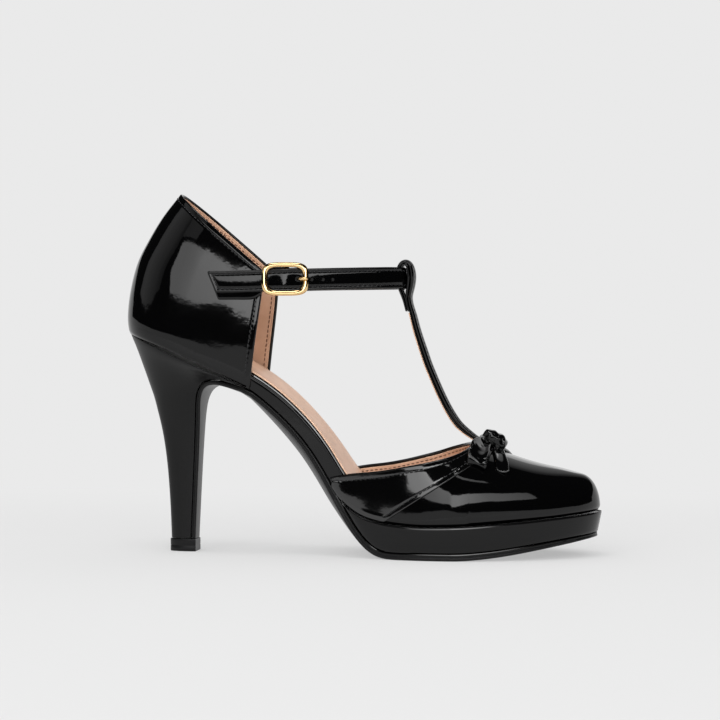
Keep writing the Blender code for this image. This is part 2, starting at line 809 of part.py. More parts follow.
def strap_path(count):
    """Ankle strap centre line from the lateral tail around the front to the medial end."""
    points = []
    for x in np.linspace(TAIL_END, STRAP_CENTRE_X, 6, endpoint=False):
        points.append((x, -STRAP_LATERAL, STRAP_SIDE_Z))
    reach = STRAP_FRONT - STRAP_CENTRE_X
    for turn in np.linspace(-math.pi / 2, math.pi / 2, 121):
        wide = STRAP_LATERAL if turn < 0 else STRAP_MEDIAL
        x = STRAP_CENTRE_X + reach * math.cos(turn)
        y = wide * math.sin(turn)
        z = STRAP_SIDE_Z + (STRAP_FRONT_Z - STRAP_SIDE_Z) * math.cos(turn) ** 2
        points.append((x, y, z))
    for x in np.linspace(STRAP_CENTRE_X, STRAP_MEDIAL_END, 4)[1:]:
        points.append((x, STRAP_MEDIAL, STRAP_SIDE_Z))
    line = np.array(points)
    bump = STRAP_BUMP * np.exp(-((line[:, 0] - BUCKLE_X) / STRAP_BUMP_LENGTH) ** 2)
    line[:, 1] -= np.where(line[:, 1] < 0, bump, 0.0)
    return even_steps(line, count)


def strap_side(x):
    """Lateral strap centre line without the bump over the centre bar."""
    reach = (x - STRAP_CENTRE_X) / (STRAP_FRONT - STRAP_CENTRE_X)
    return -STRAP_LATERAL * math.sqrt(1 - reach * reach)


def ankle_strap_rings(count):
    path = strap_path(count)
    thick = [STRAP_THICKNESS] * count
    rings = ribbon_rings(path, [(0, 0, 1)] * count, [STRAP_HALF] * count, thick)
    slanted = []
    for k, ring in enumerate(rings):
        pull = max(0.0, 1 - k / SLANT_RINGS)
        slanted.append([(x - pull * TAIL_SLANT * (z - STRAP_SIDE_Z) / STRAP_HALF, y, z) for x, y, z in ring])
    return slanted


def buckle_line():
    """Place and direction of the buckle's flat face beside the lateral strap."""
    reach = BUCKLE_SPAN / 2
    left = Vector((BUCKLE_X - reach, strap_side(BUCKLE_X - reach), 0.0))
    right = Vector((BUCKLE_X + reach, strap_side(BUCKLE_X + reach), 0.0))
    along = (right - left).normalized()
    outward = Vector((along.y, -along.x, 0.0))
    middle = (left + right) / 2 + outward * (STRAP_THICKNESS / 2 + GAP + BUCKLE_DEPTH)
    return middle, along, outward


def buckle_frame_rings(count, around):
    middle, along, outward = buckle_line()
    rings = []
    power = 2 / BUCKLE_SQUARENESS
    for turn in np.linspace(0, 2 * math.pi, count, endpoint=False):
        ca = math.copysign(abs(math.cos(turn)) ** power, math.cos(turn))
        sa = math.copysign(abs(math.sin(turn)) ** power, math.sin(turn))
        outer = (BUCKLE_OUTER[0] * ca, BUCKLE_OUTER[1] * sa)
        inner = (BUCKLE_INNER[0] * ca, BUCKLE_INNER[1] * sa)
        ring = []
        for spin in np.linspace(0, 2 * math.pi, around, endpoint=False):
            out = (1 + math.cos(spin)) / 2
            deep = BUCKLE_DEPTH * math.sin(spin)
            reach = inner[0] + (outer[0] - inner[0]) * out
            rise = inner[1] + (outer[1] - inner[1]) * out
            place = middle + along * reach + outward * deep
            ring.append((place.x, place.y, BUCKLE_Z + rise))
        rings.append(ring)
    return rings


def bar_depth():
    """How far the centre bar stands behind the frame's middle."""
    middle, along, outward = buckle_line()
    inner_face = -strap_side(BUCKLE_X) + STRAP_BUMP - STRAP_THICKNESS / 2
    return -middle.y - (inner_face - GAP - TAB_THICKNESS - GAP - BAR_RADIUS)


def bar_rings():
    middle, along, outward = buckle_line()
    rise = (BUCKLE_OUTER[1] + BUCKLE_INNER[1]) / 2
    back = middle - outward * bar_depth()
    bend = BAR_CORNER * (1 - math.sqrt(0.5))
    upper = [
        (middle, rise), (back + outward * BAR_CORNER, rise),
        (back + outward * bend, rise - bend), (back, rise - BAR_CORNER),
    ]
    corners = upper + [(back, 0.0)] + [(p, -z) for p, z in upper[::-1]]
    centres = [(p.x, p.y, BUCKLE_Z + z) for p, z in corners]
    return tube_rings(centres, BAR_RADIUS, 10)


def prong_rings():
    middle, along, outward = buckle_line()
    back = -bar_depth()
    over = BUCKLE_DEPTH + GAP + PRONG_RADIUS
    places = [(p.along, back + p.out) for p in PRONG_BEHIND] + [(p.along, over + p.out) for p in PRONG_BEFORE]
    line = through_points(places, 15)
    centres = []
    for reach, deep in line:
        p = middle + along * reach + outward * deep
        centres.append((p.x, p.y, BUCKLE_Z))
    return tube_rings(centres, PRONG_RADIUS, 8)


def prong_hole_rings():
    """Oval slot right through the strap where the prong passes."""
    middle, along, outward = buckle_line()
    rings = []
    for deep in PRONG_HOLE_SPAN:
        place = middle + along * PRONG_HOLE_REACH + outward * deep
        ring = []
        for turn in np.linspace(0, 2 * math.pi, 12, endpoint=False):
            p = place + along * PRONG_HOLE[0] * math.cos(turn)
            ring.append((p.x, p.y, BUCKLE_Z + PRONG_HOLE[1] * math.sin(turn)))
        rings.append(ring)
    return rings


def tab_rings():
    middle, along, outward = buckle_line()
    bar = middle - outward * bar_depth()
    turn_radius = BAR_RADIUS + GAP + TAB_THICKNESS / 2
    places = []
    for x in np.linspace(TAB_BACK, QUARTER[-1].front_x, 6):
        places.append((x, -quarter_side(x) - TAB_GAP - TAB_THICKNESS / 2))
    places.append((TAB_BENDS[0], bar.y - turn_radius + GAP))
    places.append((TAB_BENDS[1], bar.y - turn_radius))
    for turn in np.linspace(-math.pi / 2, math.pi / 2, 9):
        places.append((bar.x + turn_radius * math.cos(turn), bar.y + turn_radius * math.sin(turn)))
    places.append((bar.x - TAB_RETURN, bar.y + turn_radius))
    line = through_points(places, 32)
    centres = [(x, y, BUCKLE_Z - TAB_DROP) for x, y in line]
    count = len(centres)
    return ribbon_rings(centres, [(0, 0, 1)] * count, [TAB_HALF] * count, [TAB_THICKNESS] * count)


def quarter_side(x):
    """Half width of the quarter's lateral face at the strap's height."""
    best = None
    for column in quarter_columns(15, 24)[15:]:
        for px, py, pz in column:
            if abs(pz - STRAP_SIDE_Z) < STRAP_HALF + 1.4 and abs(px - x) < 3.0:
                best = max(best or 0.0, -py)
    return best


def knot_rings():
    rings = []
    length, wide, high = (s / 2 for s in KNOT_SIZE)
    for across in np.linspace(-1, 1, 7):
        swell = KNOT_WAIST + (1 - KNOT_WAIST) * math.sqrt(1 - across ** 2)
        ring = []
        for turn in np.linspace(0, 2 * math.pi, 18, endpoint=False):
            ca = math.copysign(abs(math.cos(turn)) ** KNOT_SQUARENESS, math.cos(turn))
            sa = math.copysign(abs(math.sin(turn)) ** KNOT_SQUARENESS, math.sin(turn))
            a = length * ca * swell
            b = high * sa * swell
            x = KNOT_CENTRE[0] + a * math.cos(KNOT_TILT) + b * math.sin(KNOT_TILT)
            z = KNOT_CENTRE[1] - a * math.sin(KNOT_TILT) + b * math.cos(KNOT_TILT)
            ring.append((x, centre_line(x) + wide * across, z))
        rings.append(ring)
    return rings


def drape(x, sign, reach, lift):
    """Point over the vamp at a distance from its centre line."""
    y = centre_line(x) + sign * reach
    return (x, y, vamp_height(x, y) + PANEL_RAISE + lift)


def bow_loop_rings(sign):
    places = [drape(LOOP_X, sign, p.reach, p.lift) for p in BOW_LOOP]
    line = through_points([(y, z, x) for x, y, z in places], 28)
    centres = [(x, y, z) for y, z, x in line]
    ease = [abs(abs(y - centre_line(LOOP_X)) - KNOT_SIDE) for x, y, z in centres]
    halves = [LOOP_HALF - LOOP_PINCH * max(0.0, 1 - e / PINCH_LENGTH) for e in ease]
    sides = [(1.0, 0.0, RIBBON_LEAN)] * len(centres)
    return ribbon_rings(centres, sides, halves, [RIBBON_THICKNESS] * len(centres))


def bow_tail_rings(sign):
    places = [drape(TAIL_X, sign, p.reach, p.lift) for p in BOW_TAIL]
    line = through_points([(y, z, x) for x, y, z in places], 15)
    centres = [(x, y, z) for y, z, x in line]
    count = len(centres)
    halves = np.linspace(TAIL_HALF - TAIL_PINCH, TAIL_HALF, count)
    rings = ribbon_rings(centres, [(1.0, 0.0, RIBBON_LEAN)] * count, halves, [RIBBON_THICKNESS] * count)
    cut = []
    for k, ring in enumerate(rings):
        pull = max(0.0, 1 - (count - 1 - k) / 4) * TAIL_CUT
        cut.append([(x, y + sign * pull * (x - TAIL_X), z) for x, y, z in ring])
    return cut


def material(name, colour, rough, metal=0.0):
    made = bpy.data.materials.new(name)
    made.use_nodes = True
    shader = made.node_tree.nodes["Principled BSDF"]
    shader.inputs["Base Color"].default_value = (*colour, 1.0)
    shader.inputs["Roughness"].default_value = rough
    shader.inputs["Metallic"].default_value = metal
    return made


def solidify(item, thickness, offset=-1.0):
    wall = item.modifiers.new("wall", "SOLIDIFY")
    wall.thickness = thickness * MM
    wall.offset = offset
    wall.use_even_offset = True
    wall.use_quality_normals = True


def boolean(item, operation, operand):
    cut = item.modifiers.new(operation.lower(), "BOOLEAN")
    cut.operation = operation
    cut.solver = "EXACT"
    cut.object = operand


def as_cutter(item):
    item.hide_render = True
    item.display_type = "WIRE"
    return item


def shade_round(item):
    for face in item.data.polygons:
        face.use_smooth = True


def behind_seam(collection):
    """Large block behind the seam of the side panel; its slanted front face is the seam."""
    x, z = SEAM_FOOT
    reach = SEAM_BLOCK
    low = x - z / SEAM_SLOPE
    high = x + (reach - z) / SEAM_SLOPE
    corners = [(-reach, 0.0), (low, 0.0), (high, reach), (-reach, reach)]
    rings = [[(cx, y, cz) for cx, cz in corners] for y in (-reach, reach)]
    return as_cutter(new_object("behind_seam", loft("behind_seam", rings), collection, None))


def build():
    clear_scene()
    scene = bpy.context.scene
    parts = bpy.data.collections.new("t_strap_platform_pump")
    tools = bpy.data.collections.new("cutters")
    scene.collection.children.link(parts)
    scene.collection.children.link(tools)

    patent = material("patent_leather", (0.012, 0.012, 0.013), 0.12)
    bow = material("bow_patent", (0.014, 0.014, 0.015), 0.14)
    cover = material("platform_cover", (0.02, 0.02, 0.021), 0.3)
    heel_cover = material("heel_cover", (0.014, 0.014, 0.015), 0.2)
    rubber = material("sole_rubber", (0.03, 0.03, 0.031), 0.45)
    nude = material("nude_leather", (0.66, 0.46, 0.34), 0.5)
    gold = material("gold_metal", (0.85, 0.6, 0.27), 0.2, 1.0)

    made = []

    def add(name, mesh, look):
        item = new_object(name, mesh, parts, look)
        made.append(item)
        return item

    add("outsole", loft("outsole", outsole_rings(34)), rubber)
    add("platform", loft("platform", platform_rings(34)), cover)
    add("heel", loft("heel", heel_rings(27, 15)), heel_cover)
    add("heel_tip", loft("heel_tip", tip_rings()), rubber)
    board = slab_rings(BOARD_INSET, board_bottom, board_top, BOARD_EDGE, 46)
    add("insole_board", loft("insole_board", board), patent)
    sock = slab_rings(SOCK_INSET, sock_bottom, sock_top, 0.4, 46)
    add("insole", loft("insole", sock), nude)

    vamp = add("vamp", vamp_surface("vamp", VAMP_BACK, THROAT, 0.0, 0.0), patent)
    solidify(vamp, WALL)
    panel_mesh = vamp_surface("panel", PANEL_BACK, PANEL_THROAT, PANEL_EDGE, PANEL_FOOT_RISE)
    panel = as_cutter(new_object("panel", panel_mesh, tools, None))
    solidify(panel, PANEL_RAISE + PANEL_ROOT, 1.0 - 2.0 * PANEL_ROOT / (PANEL_RAISE + PANEL_ROOT))
    boolean(panel, "INTERSECT", behind_seam(tools))
    boolean(vamp, "UNION", panel)

    quarter = add("quarter", sheet("quarter", quarter_columns(15, 9)), patent)
    solidify(quarter, WALL)

    add("t_strap", loft("t_strap", t_strap_rings(47)), patent)

    strap = add("ankle_strap", loft("ankle_strap", ankle_strap_rings(58)), patent)
    hole = as_cutter(new_object("prong_hole", loft("prong_hole", prong_hole_rings()), tools, None))
    boolean(strap, "DIFFERENCE", hole)

    frame = add("buckle_frame", loft("buckle_frame", buckle_frame_rings(32, 8), around=True), gold)
    bar = as_cutter(new_object("centre_bar", loft("centre_bar", bar_rings()), tools, None))
    boolean(frame, "UNION", bar)
    add("buckle_prong", loft("buckle_prong", prong_rings()), gold)
    add("buckle_tab", loft("buckle_tab", tab_rings()), patent)

    add("bow_knot", loft("bow_knot", knot_rings()), bow)
    add("bow_loop_lateral", loft("bow_loop_lateral", bow_loop_rings(-1.0)), bow)
    add("bow_loop_medial", loft("bow_loop_medial", bow_loop_rings(1.0)), bow)
    add("bow_tail_lateral", loft("bow_tail_lateral", bow_tail_rings(-1.0)), bow)
    add("bow_tail_medial", loft("bow_tail_medial", bow_tail_rings(1.0)), bow)

    for item in made:
        shade_round(item)
    stand_on_origin(made, list(parts.objects) + list(tools.objects))


def stand_on_origin(shown, everything):
    """Move all meshes alike, so the shoe stands on the origin with its box centred over it."""
    bpy.context.view_layer.update()
    graph = bpy.context.evaluated_depsgraph_get()
    corners = []
    for item in shown:
        shape = item.evaluated_get(graph)
        corners += [tuple(v.co) for v in shape.data.vertices]
    low = np.min(corners, axis=0)
    high = np.max(corners, axis=0)
    shift = Vector((-(low[0] + high[0]) / 2, -(low[1] + high[1]) / 2, -low[2]))
    for item in everything:
        for vertex in item.data.vertices:
            vertex.co += shift


build()
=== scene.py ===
import math

import bpy
import numpy as np
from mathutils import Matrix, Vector, noise


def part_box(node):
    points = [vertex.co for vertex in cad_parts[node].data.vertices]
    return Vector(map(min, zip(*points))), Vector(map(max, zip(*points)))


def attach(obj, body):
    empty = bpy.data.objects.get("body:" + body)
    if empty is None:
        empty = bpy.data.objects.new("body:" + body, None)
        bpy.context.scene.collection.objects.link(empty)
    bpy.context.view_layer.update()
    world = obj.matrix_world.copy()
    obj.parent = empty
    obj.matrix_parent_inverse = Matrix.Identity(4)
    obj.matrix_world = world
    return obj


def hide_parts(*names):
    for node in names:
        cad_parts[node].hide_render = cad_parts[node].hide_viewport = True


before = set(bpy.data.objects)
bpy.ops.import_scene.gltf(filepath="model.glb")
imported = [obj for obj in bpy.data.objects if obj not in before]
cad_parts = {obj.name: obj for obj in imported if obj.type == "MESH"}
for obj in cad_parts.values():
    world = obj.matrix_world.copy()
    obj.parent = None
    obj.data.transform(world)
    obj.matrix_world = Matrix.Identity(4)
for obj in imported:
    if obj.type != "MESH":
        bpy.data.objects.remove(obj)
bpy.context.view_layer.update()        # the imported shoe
scene = bpy.context.scene
print("frame loaded")

# sizes are in millimetres: x from heel to toe, y to the medial side, z up from the floor
mm = 0.001
gap = 0.3

last = {
    "x": [-80, -64, -48, -34, -20, -6, 8, 22, 36, 46],
    "lateral": [27.6, 27.1, 25.6, 23.4, 22.6, 26.0, 31.6, 36.6, 39.4, 40.0],
    "medial": [27.4, 26.6, 24.7, 21.6, 19.6, 22.8, 29.4, 36.0, 39.8, 41.0],
    "heelEnd": -109.6,
    "toeEnd": 112.1,
    "heelRound": 2.3,
    "toeFullness": 1.5,
    "toeSwing": 2.0,
    "swingStart": 20.0,
    "roundEnd": 0.5,
}
bedLine = {
    "x": [-110, -90.4, -70.9, -56.9, -48.3, -41.9, -35.6, -29.1, -22.6, -16, -9.2, -7, -0.6, 7.3, 19, 33,
          51.7, 69.6, 87.6, 112],
    "z": [103.3, 96.6, 88.2, 81.4, 76.7, 71.8, 66.2, 59.8, 52.3, 42.8, 31.2, 27.6, 22, 18.1, 15.9, 15,
          15.5, 16.9, 18.4, 20.6],
}
sockLine = {
    "x": [-110, -95, -75, -60, -47.6, -35.6, -22.7, -12.7, -3.1, 5, 12, 20, 33, 51.7, 69.6, 87.6, 112],
    "z": [113, 108.2, 100, 92.8, 86, 77.6, 65.5, 53.2, 38.7, 28.6, 24, 21.4, 20.2, 20.4, 21.6, 23.1, 25.2],
}
treadLine = {
    "x": [-48.3, -41.9, -35.6, -29.1, -22.6, -16, -9.2, -5.2, -0.4, 4.4, 9, 14, 33, 48, 60, 70, 80, 88,
          100, 112],
    "z": [76.4, 71.5, 65.9, 59.5, 52, 42.5, 30.9, 24.1, 16.2, 9.8, 5.2, 3, 3, 3, 3.8, 5, 6.5, 7.7,
          9.5, 11.2],
}


def monotone(xs, ys, at):
    steps = np.diff(xs)
    rises = np.diff(ys) / steps
    slopes = np.zeros(len(xs))
    slopes[0] = rises[0]
    slopes[-1] = rises[-1]
    left, right = rises[:-1], rises[1:]
    same = left * right > 0
    slopes[1:-1][same] = 2 * left[same] * right[same] / (left[same] + right[same])
    cell = np.clip(np.searchsorted(xs, at) - 1, 0, len(steps) - 1)
    h = steps[cell]
    t = (at - xs[cell]) / h
    return (ys[cell] * (1 + 2 * t) * (1 - t) ** 2 + slopes[cell] * h * t * (1 - t) ** 2
            + ys[cell + 1] * t * t * (3 - 2 * t) + slopes[cell + 1] * h * t * t * (t - 1))


def softCurve(xs, ys, ease):
    # monotone curve through a short table, rounded over a few millimetres so that gloss runs on evenly
    xs = np.asarray(xs, float)
    ys = np.asarray(ys, float)
    step = (xs[-1] - xs[0]) / 1500
    pad = 4 * ease
    fine = np.arange(xs[0] - pad, xs[-1] + pad + step, step)
    values = monotone(xs, ys, np.clip(fine, xs[0], xs[-1]))
    values += np.minimum(fine - xs[0], 0) * (ys[1] - ys[0]) / (xs[1] - xs[0])
    values += np.maximum(fine - xs[-1], 0) * (ys[-1] - ys[-2]) / (xs[-1] - xs[-2])
    window = np.exp(-0.5 * (np.arange(-pad, pad + step / 2, step) / ease) ** 2)
    values = np.convolve(values, window / window.sum(), mode="same")
    return lambda at: np.interp(np.clip(at, xs[0], xs[-1]), fine, values)


bed = softCurve(bedLine["x"], bedLine["z"], 1.6)
sockTop = softCurve(sockLine["x"], sockLine["z"], 2.0)
treadTop = softCurve(treadLine["x"], treadLine["z"], 3.8)
widths = {side: softCurve(last["x"], last[side], 3.0) for side in ("lateral", "medial")}
signs = {"lateral": -1.0, "medial": 1.0}


def slopeNormal(line, x, step=0.2):
    rise = (line(x + step) - line(x - step)) / (2 * step)
    length = np.hypot(1.0, rise)
    return -rise / length, 1.0 / length


def centreLine(x):
    swing = np.maximum(0, x - last["swingStart"]) / (last["toeEnd"] - last["swingStart"])
    return last["toeSwing"] * swing ** 2


def halfWidth(side, x):
    x = np.asarray(x, float)
    first, final = last["x"][0], last["x"][-1]
    heel = np.clip((first - x) / (first - last["heelEnd"]), 0, 1)
    toe = np.clip((x - final) / (last["toeEnd"] - final), 0, 1)
    rounding = (1 - heel ** last["heelRound"]) ** (1 / last["heelRound"])
    return widths[side](np.clip(x, first, final)) * (rounding * (1 - toe ** last["toeFullness"]) ** 0.5)


def lineRun(line):
    # distance along a line, or along every line of a grid
    steps = np.linalg.norm(np.diff(line, axis=0), axis=-1)
    return np.concatenate([np.zeros_like(steps[:1]), np.cumsum(steps, axis=0)])


def resample(line, places, run=None):
    # a line's points at given distances along it
    run = lineRun(line) if run is None else run
    return np.stack([np.interp(places, run, column) for column in line.T], axis=-1)


def evenSteps(line, count):
    return resample(line, np.linspace(0, lineRun(line)[-1], count))


def lastedEdge(side, inset):
    sign = signs[side]
    turns = np.linspace(0, math.pi, 1201)
    xs = last["heelEnd"] + (last["toeEnd"] - last["heelEnd"]) * (1 - np.cos(turns)) / 2
    line = np.stack([xs, centreLine(xs) + sign * halfWidth(side, xs)], axis=1)
    along = np.gradient(line, axis=0)
    along[0] = (0.0, sign)
    along[-1] = (0.0, -sign)
    along /= np.linalg.norm(along, axis=1)[:, None]
    return line - np.stack([-along[:, 1], along[:, 0]], axis=1) * sign * inset


def rail(side, inset, start, stop, count):
    line = lastedEdge(side, inset)
    if start is None:
        line = line[np.abs(line[:, 1] - line[0, 1]) > last["roundEnd"]]
    else:
        line = line[line[:, 0] >= start]
    if stop is None:
        line = line[np.abs(line[:, 1] - line[-1, 1]) > last["roundEnd"]]
    else:
        line = line[line[:, 0] <= stop]
    return evenSteps(line, count)


def throughPoints(points, count):
    # smooth line through a few points, extra columns carried along
    points = np.array(points, float)
    ends = np.concatenate([points[:1], points, points[-1:]])
    dense = []
    for before, start, end, after in zip(ends, ends[1:], ends[2:], ends[3:]):
        for t in np.linspace(0, 1, 16, endpoint=False):
            dense.append(0.5 * (2 * start + (end - before) * t
                                + (2 * before - 5 * start + 4 * end - after) * t ** 2
                                + (3 * start - before - 3 * end + after) * t ** 3))
    dense.append(points[-1])
    return evenSteps(np.array(dense), count)


def eased(values, reach):
    # running soft window along the first axis, ends held
    size = int(3 * reach)
    window = np.exp(-0.5 * (np.arange(-size, size + 1) / reach) ** 2)
    window /= window.sum()
    head = 2 * values[:1] - values[1:size + 1][::-1]
    tail = 2 * values[-1:] - values[-size - 1:-1][::-1]
    padded = np.concatenate([head, values, tail])
    return np.stack([np.convolve(padded[:, k], window, mode="valid") for k in range(values.shape[1])], axis=1)


def unit(vectors):
    return vectors / np.maximum(np.linalg.norm(vectors, axis=-1, keepdims=True), 1e-9)


def signedPower(value, power):
    return math.copysign(abs(value) ** power, value)


heelTip = {"back": -90.7, "front": -77.5, "half": 5.5, "height": 6.0, "edge": 0.45}
tipLow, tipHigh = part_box("heel_tip")
shift = np.array([tipHigh.x / mm - heelTip["front"], (tipLow.y + tipHigh.y) / 2 / mm, 0.0])


# finishes

def newFinish(name, colour, rough, **sockets):
    finish = bpy.data.materials.new(name)
    finish.use_nodes = True
    shader = finish.node_tree.nodes["Principled BSDF"]
    shader.inputs["Base Color"].default_value = (*colour, 1.0)
    shader.inputs["Roughness"].default_value = rough
    for socket, value in sockets.items():
        shader.inputs[socket.replace("_", " ")].default_value = value
    return finish


def grain(finish, scale, detail, cells=False):
    tree = finish.node_tree
    place = tree.nodes.new("ShaderNodeTexCoord")
    pattern = tree.nodes.new("ShaderNodeTexVoronoi" if cells else "ShaderNodeTexNoise")
    if cells:
        pattern.feature = "SMOOTH_F1"
    else:
        pattern.inputs["Detail"].default_value = detail
    pattern.inputs["Scale"].default_value = scale
    tree.links.new(place.outputs["Object"], pattern.inputs["Vector"])
    return pattern.outputs["Distance" if cells else "Fac"]


def bump(finish, height, strength, distance):
    tree = finish.node_tree
    shader = tree.nodes["Principled BSDF"]
    node = tree.nodes.new("ShaderNodeBump")
    node.inputs["Strength"].default_value = strength
    node.inputs["Distance"].default_value = distance
    tree.links.new(height, node.inputs["Height"])
    already = shader.inputs["Normal"].links
    if already:
        tree.links.new(already[0].from_socket, node.inputs["Normal"])
    tree.links.new(node.outputs["Normal"], shader.inputs["Normal"])


def vary(finish, socket, pattern, low, high, edges=(0.3, 0.7), change="LINEAR"):
    # lets a pattern move one socket between two values or two colours
    tree = finish.node_tree
    ramp = tree.nodes.new("ShaderNodeValToRGB")
    ramp.color_ramp.interpolation = change
    for end, place, value in zip(ramp.color_ramp.elements, edges, (low, high)):
        end.position = place
        end.color = (*value, 1.0) if isinstance(value, tuple) else (value, value, value, 1.0)
    tree.links.new(pattern, ramp.inputs["Fac"])
    tree.links.new(ramp.outputs["Color"], tree.nodes["Principled BSDF"].inputs[socket])


patent = newFinish("patent leather", (0.0008, 0.0008, 0.0009), 0.05, IOR=1.42)
bump(patent, grain(patent, 260, 2), 0.05, 0.0004)
bump(patent, grain(patent, 1500, 2), 0.02, 0.0001)
panelPatent = newFinish("panel patent", (0.0008, 0.0008, 0.0009), 0.07, IOR=1.72)
bump(panelPatent, grain(panelPatent, 260, 2), 0.06, 0.0004)
bowPatent = newFinish("bow patent", (0.001, 0.001, 0.0011), 0.06, IOR=1.6, Specular_IOR_Level=0.3)
bump(bowPatent, grain(bowPatent, 500, 3), 0.06, 0.0003)
rolledEdge = newFinish("rolled edge", (0.002, 0.002, 0.002), 0.12, IOR=1.9)
platformCover = newFinish("platform cover", (0.002, 0.002, 0.0021), 0.2, IOR=1.37)
bump(platformCover, grain(platformCover, 2600, 3), 0.06, 0.0001)
heelCover = newFinish("heel cover", (0.002, 0.002, 0.0021), 0.38, IOR=1.35)
bump(heelCover, grain(heelCover, 2200, 3), 0.04, 0.0001)
soleRubber = newFinish("sole rubber", (0.003, 0.003, 0.0032), 0.34, IOR=1.34)
bump(soleRubber, grain(soleRubber, 3000, 4), 0.2, 0.0001)
nudeLeather = newFinish("nude leather", (0.66, 0.42, 0.29), 0.42, Specular_IOR_Level=0.4)
vary(nudeLeather, "Base Color", grain(nudeLeather, 90, 5), (0.60, 0.38, 0.26), (0.70, 0.46, 0.33))
bump(nudeLeather, grain(nudeLeather, 1800, 3, cells=True), 0.25, 0.0001)
bump(nudeLeather, grain(nudeLeather, 400, 4), 0.12, 0.0003)
tanLining = newFinish("tan lining", (0.60, 0.38, 0.26), 0.5, Specular_IOR_Level=0.35)
vary(tanLining, "Base Color", grain(tanLining, 140, 4), (0.56, 0.345, 0.23), (0.64, 0.415, 0.29))
bump(tanLining, grain(tanLining, 2200, 3, cells=True), 0.2, 0.0001)
polishedEdge = newFinish("polished edge", (0.002, 0.002, 0.002), 0.1, IOR=2.1)
paintedEdge = newFinish("painted edge", (0.002, 0.002, 0.002), 0.1, IOR=1.6)
blackThread = newFinish("black thread", (0.008, 0.008, 0.009), 0.35)
brownThread = newFinish("brown thread", (0.10, 0.04, 0.02), 0.5)
gold = newFinish("gold metal", (0.87, 0.61, 0.30), 0.16, Metallic=1.0)
vary(gold, "Roughness", grain(gold, 700, 4), 0.07, 0.11)
print("finishes ready")


# pieces

def addShape(name, corners, faces, finish=None):
    mesh = bpy.data.meshes.new(name)
    mesh.from_pydata(corners, [], faces)
    if finish:
        mesh.materials.append(finish)
    item = bpy.data.objects.new(name, mesh)
    scene.collection.objects.link(item)
    return item


def placed(points):
    return ((np.asarray(points, float) + shift) * mm).tolist()


def addPiece(name, points, faces, finish, replaced=(), sharp=60):
    piece = addShape(name, placed(points), faces, finish)
    piece.data.validate()
    piece.data.shade_smooth()
    piece.data.set_sharp_from_angle(angle=math.radians(sharp))
    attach(piece, "root")
    if replaced:
        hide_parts(*replaced)
    return piece


def gridIndex(grid):
    return np.arange(grid.shape[0] * grid.shape[1]).reshape(grid.shape[:2])


def gridQuads(index):
    return np.stack([index[:-1, :-1], index[1:, :-1], index[1:, 1:], index[:-1, 1:]], axis=-1).reshape(-1, 4)


def quadNormals(points, quads):
    corner = points[quads]
    across = np.cross(corner[:, 2] - corner[:, 0], corner[:, 3] - corner[:, 1])
    normals = np.zeros_like(points)
    for k in range(4):
        np.add.at(normals, quads[:, k], across)
    return unit(normals)


def cleanFaces(quads):
    faces = []
    for quad in quads.tolist():
        face = [v for k, v in enumerate(quad) if v != quad[k - 1]]
        if len(face) > 2:
            faces.append(face)
    return faces


def borderLoops(quads):
    ways = {}
    for k in range(4):
        for a, b in zip(quads[:, k].tolist(), quads[:, (k + 1) % 4].tolist()):
            if a != b:
                ways[(a, b)] = True
    after = {a: b for a, b in ways if (b, a) not in ways}
    loops = []
    while after:
        start = next(iter(after))
        loop = [start]
        here = after.pop(start)
        while here != start:
            loop.append(here)
            here = after.pop(here)
        loops.append(np.array(loop))
    return loops


def addSheet(name, grid, outer, inner, finish, replaced=(), rim=0.9, steps=6, index=None, sharp=75):
    # closed leather sheet: both faces of an open grid and a rounded edge all around it
    index = gridIndex(grid) if index is None else index
    used, flat = np.unique(index, return_inverse=True)
    flat = flat.reshape(index.shape)
    base = grid.reshape(-1, 3)[used]
    quads = gridQuads(flat)
    normals = quadNormals(base, quads)
    shape = grid.shape[:2]
    outer = np.broadcast_to(outer, shape).reshape(-1)[used][:, None]
    inner = np.broadcast_to(inner, shape).reshape(-1)[used][:, None]
    rim = np.broadcast_to(rim, shape).reshape(-1)[used]
    top = base + normals * outer
    under = base + normals * inner
    count = len(base)
    points = [top, under]
    faces = cleanFaces(quads) + [face[::-1] for face in cleanFaces(quads + count)]
    total = 2 * count
    for loop in borderLoops(quads):
        way = base[np.roll(loop, -1)] - base[np.roll(loop, 1)]
        out = unit(np.cross(way, normals[loop]))
        middle = (top[loop] + under[loop]) / 2
        half = (top[loop] - under[loop]) / 2
        reach = np.linalg.norm(half, axis=1) * rim[loop]
        rings = [loop]
        for k in range(1, steps):
            turn = math.pi * k / steps
            points.append(middle + half * math.cos(turn) + out * (reach * math.sin(turn))[:, None])
            rings.append(np.arange(total, total + len(loop)))
            total += len(loop)
        rings.append(loop + count)
        for here, there in zip(rings, rings[1:]):
            faces += np.stack([np.roll(here, -1), here, there, np.roll(there, -1)], axis=1).tolist()
    piece = addPiece(name, np.concatenate(points), faces, finish, replaced, sharp)
    return piece, top, normals, flat


def addLining(name, grid, outer, inner, index=None, rim=0.8):
    return addSheet(name, grid, outer, inner, tanLining, (), rim, 3, index, 60)


def closedLoft(rings, around=False):
    rings = np.asarray(rings, float)
    count, size = rings.shape[:2]
    index = np.arange(count * size).reshape(count, size)
    index = np.concatenate([index, index[:, :1]], axis=1)
    if around:
        index = np.concatenate([index, index[:1]], axis=0)
    faces = gridQuads(index).tolist()
    if not around:
        faces.append(list(range(size)))
        faces.append(list(range((count - 1) * size, count * size))[::-1])
    return rings.reshape(-1, 3), faces


def facingOut(points, faces):
    # turns a closed body's faces outwards
    points = np.asarray(points)
    volume = 0.0
    for face in faces:
        for k in range(1, len(face) - 1):
            volume += np.dot(points[face[0]], np.cross(points[face[k]], points[face[k + 1]]))
    return faces if volume > 0 else [face[::-1] for face in faces]


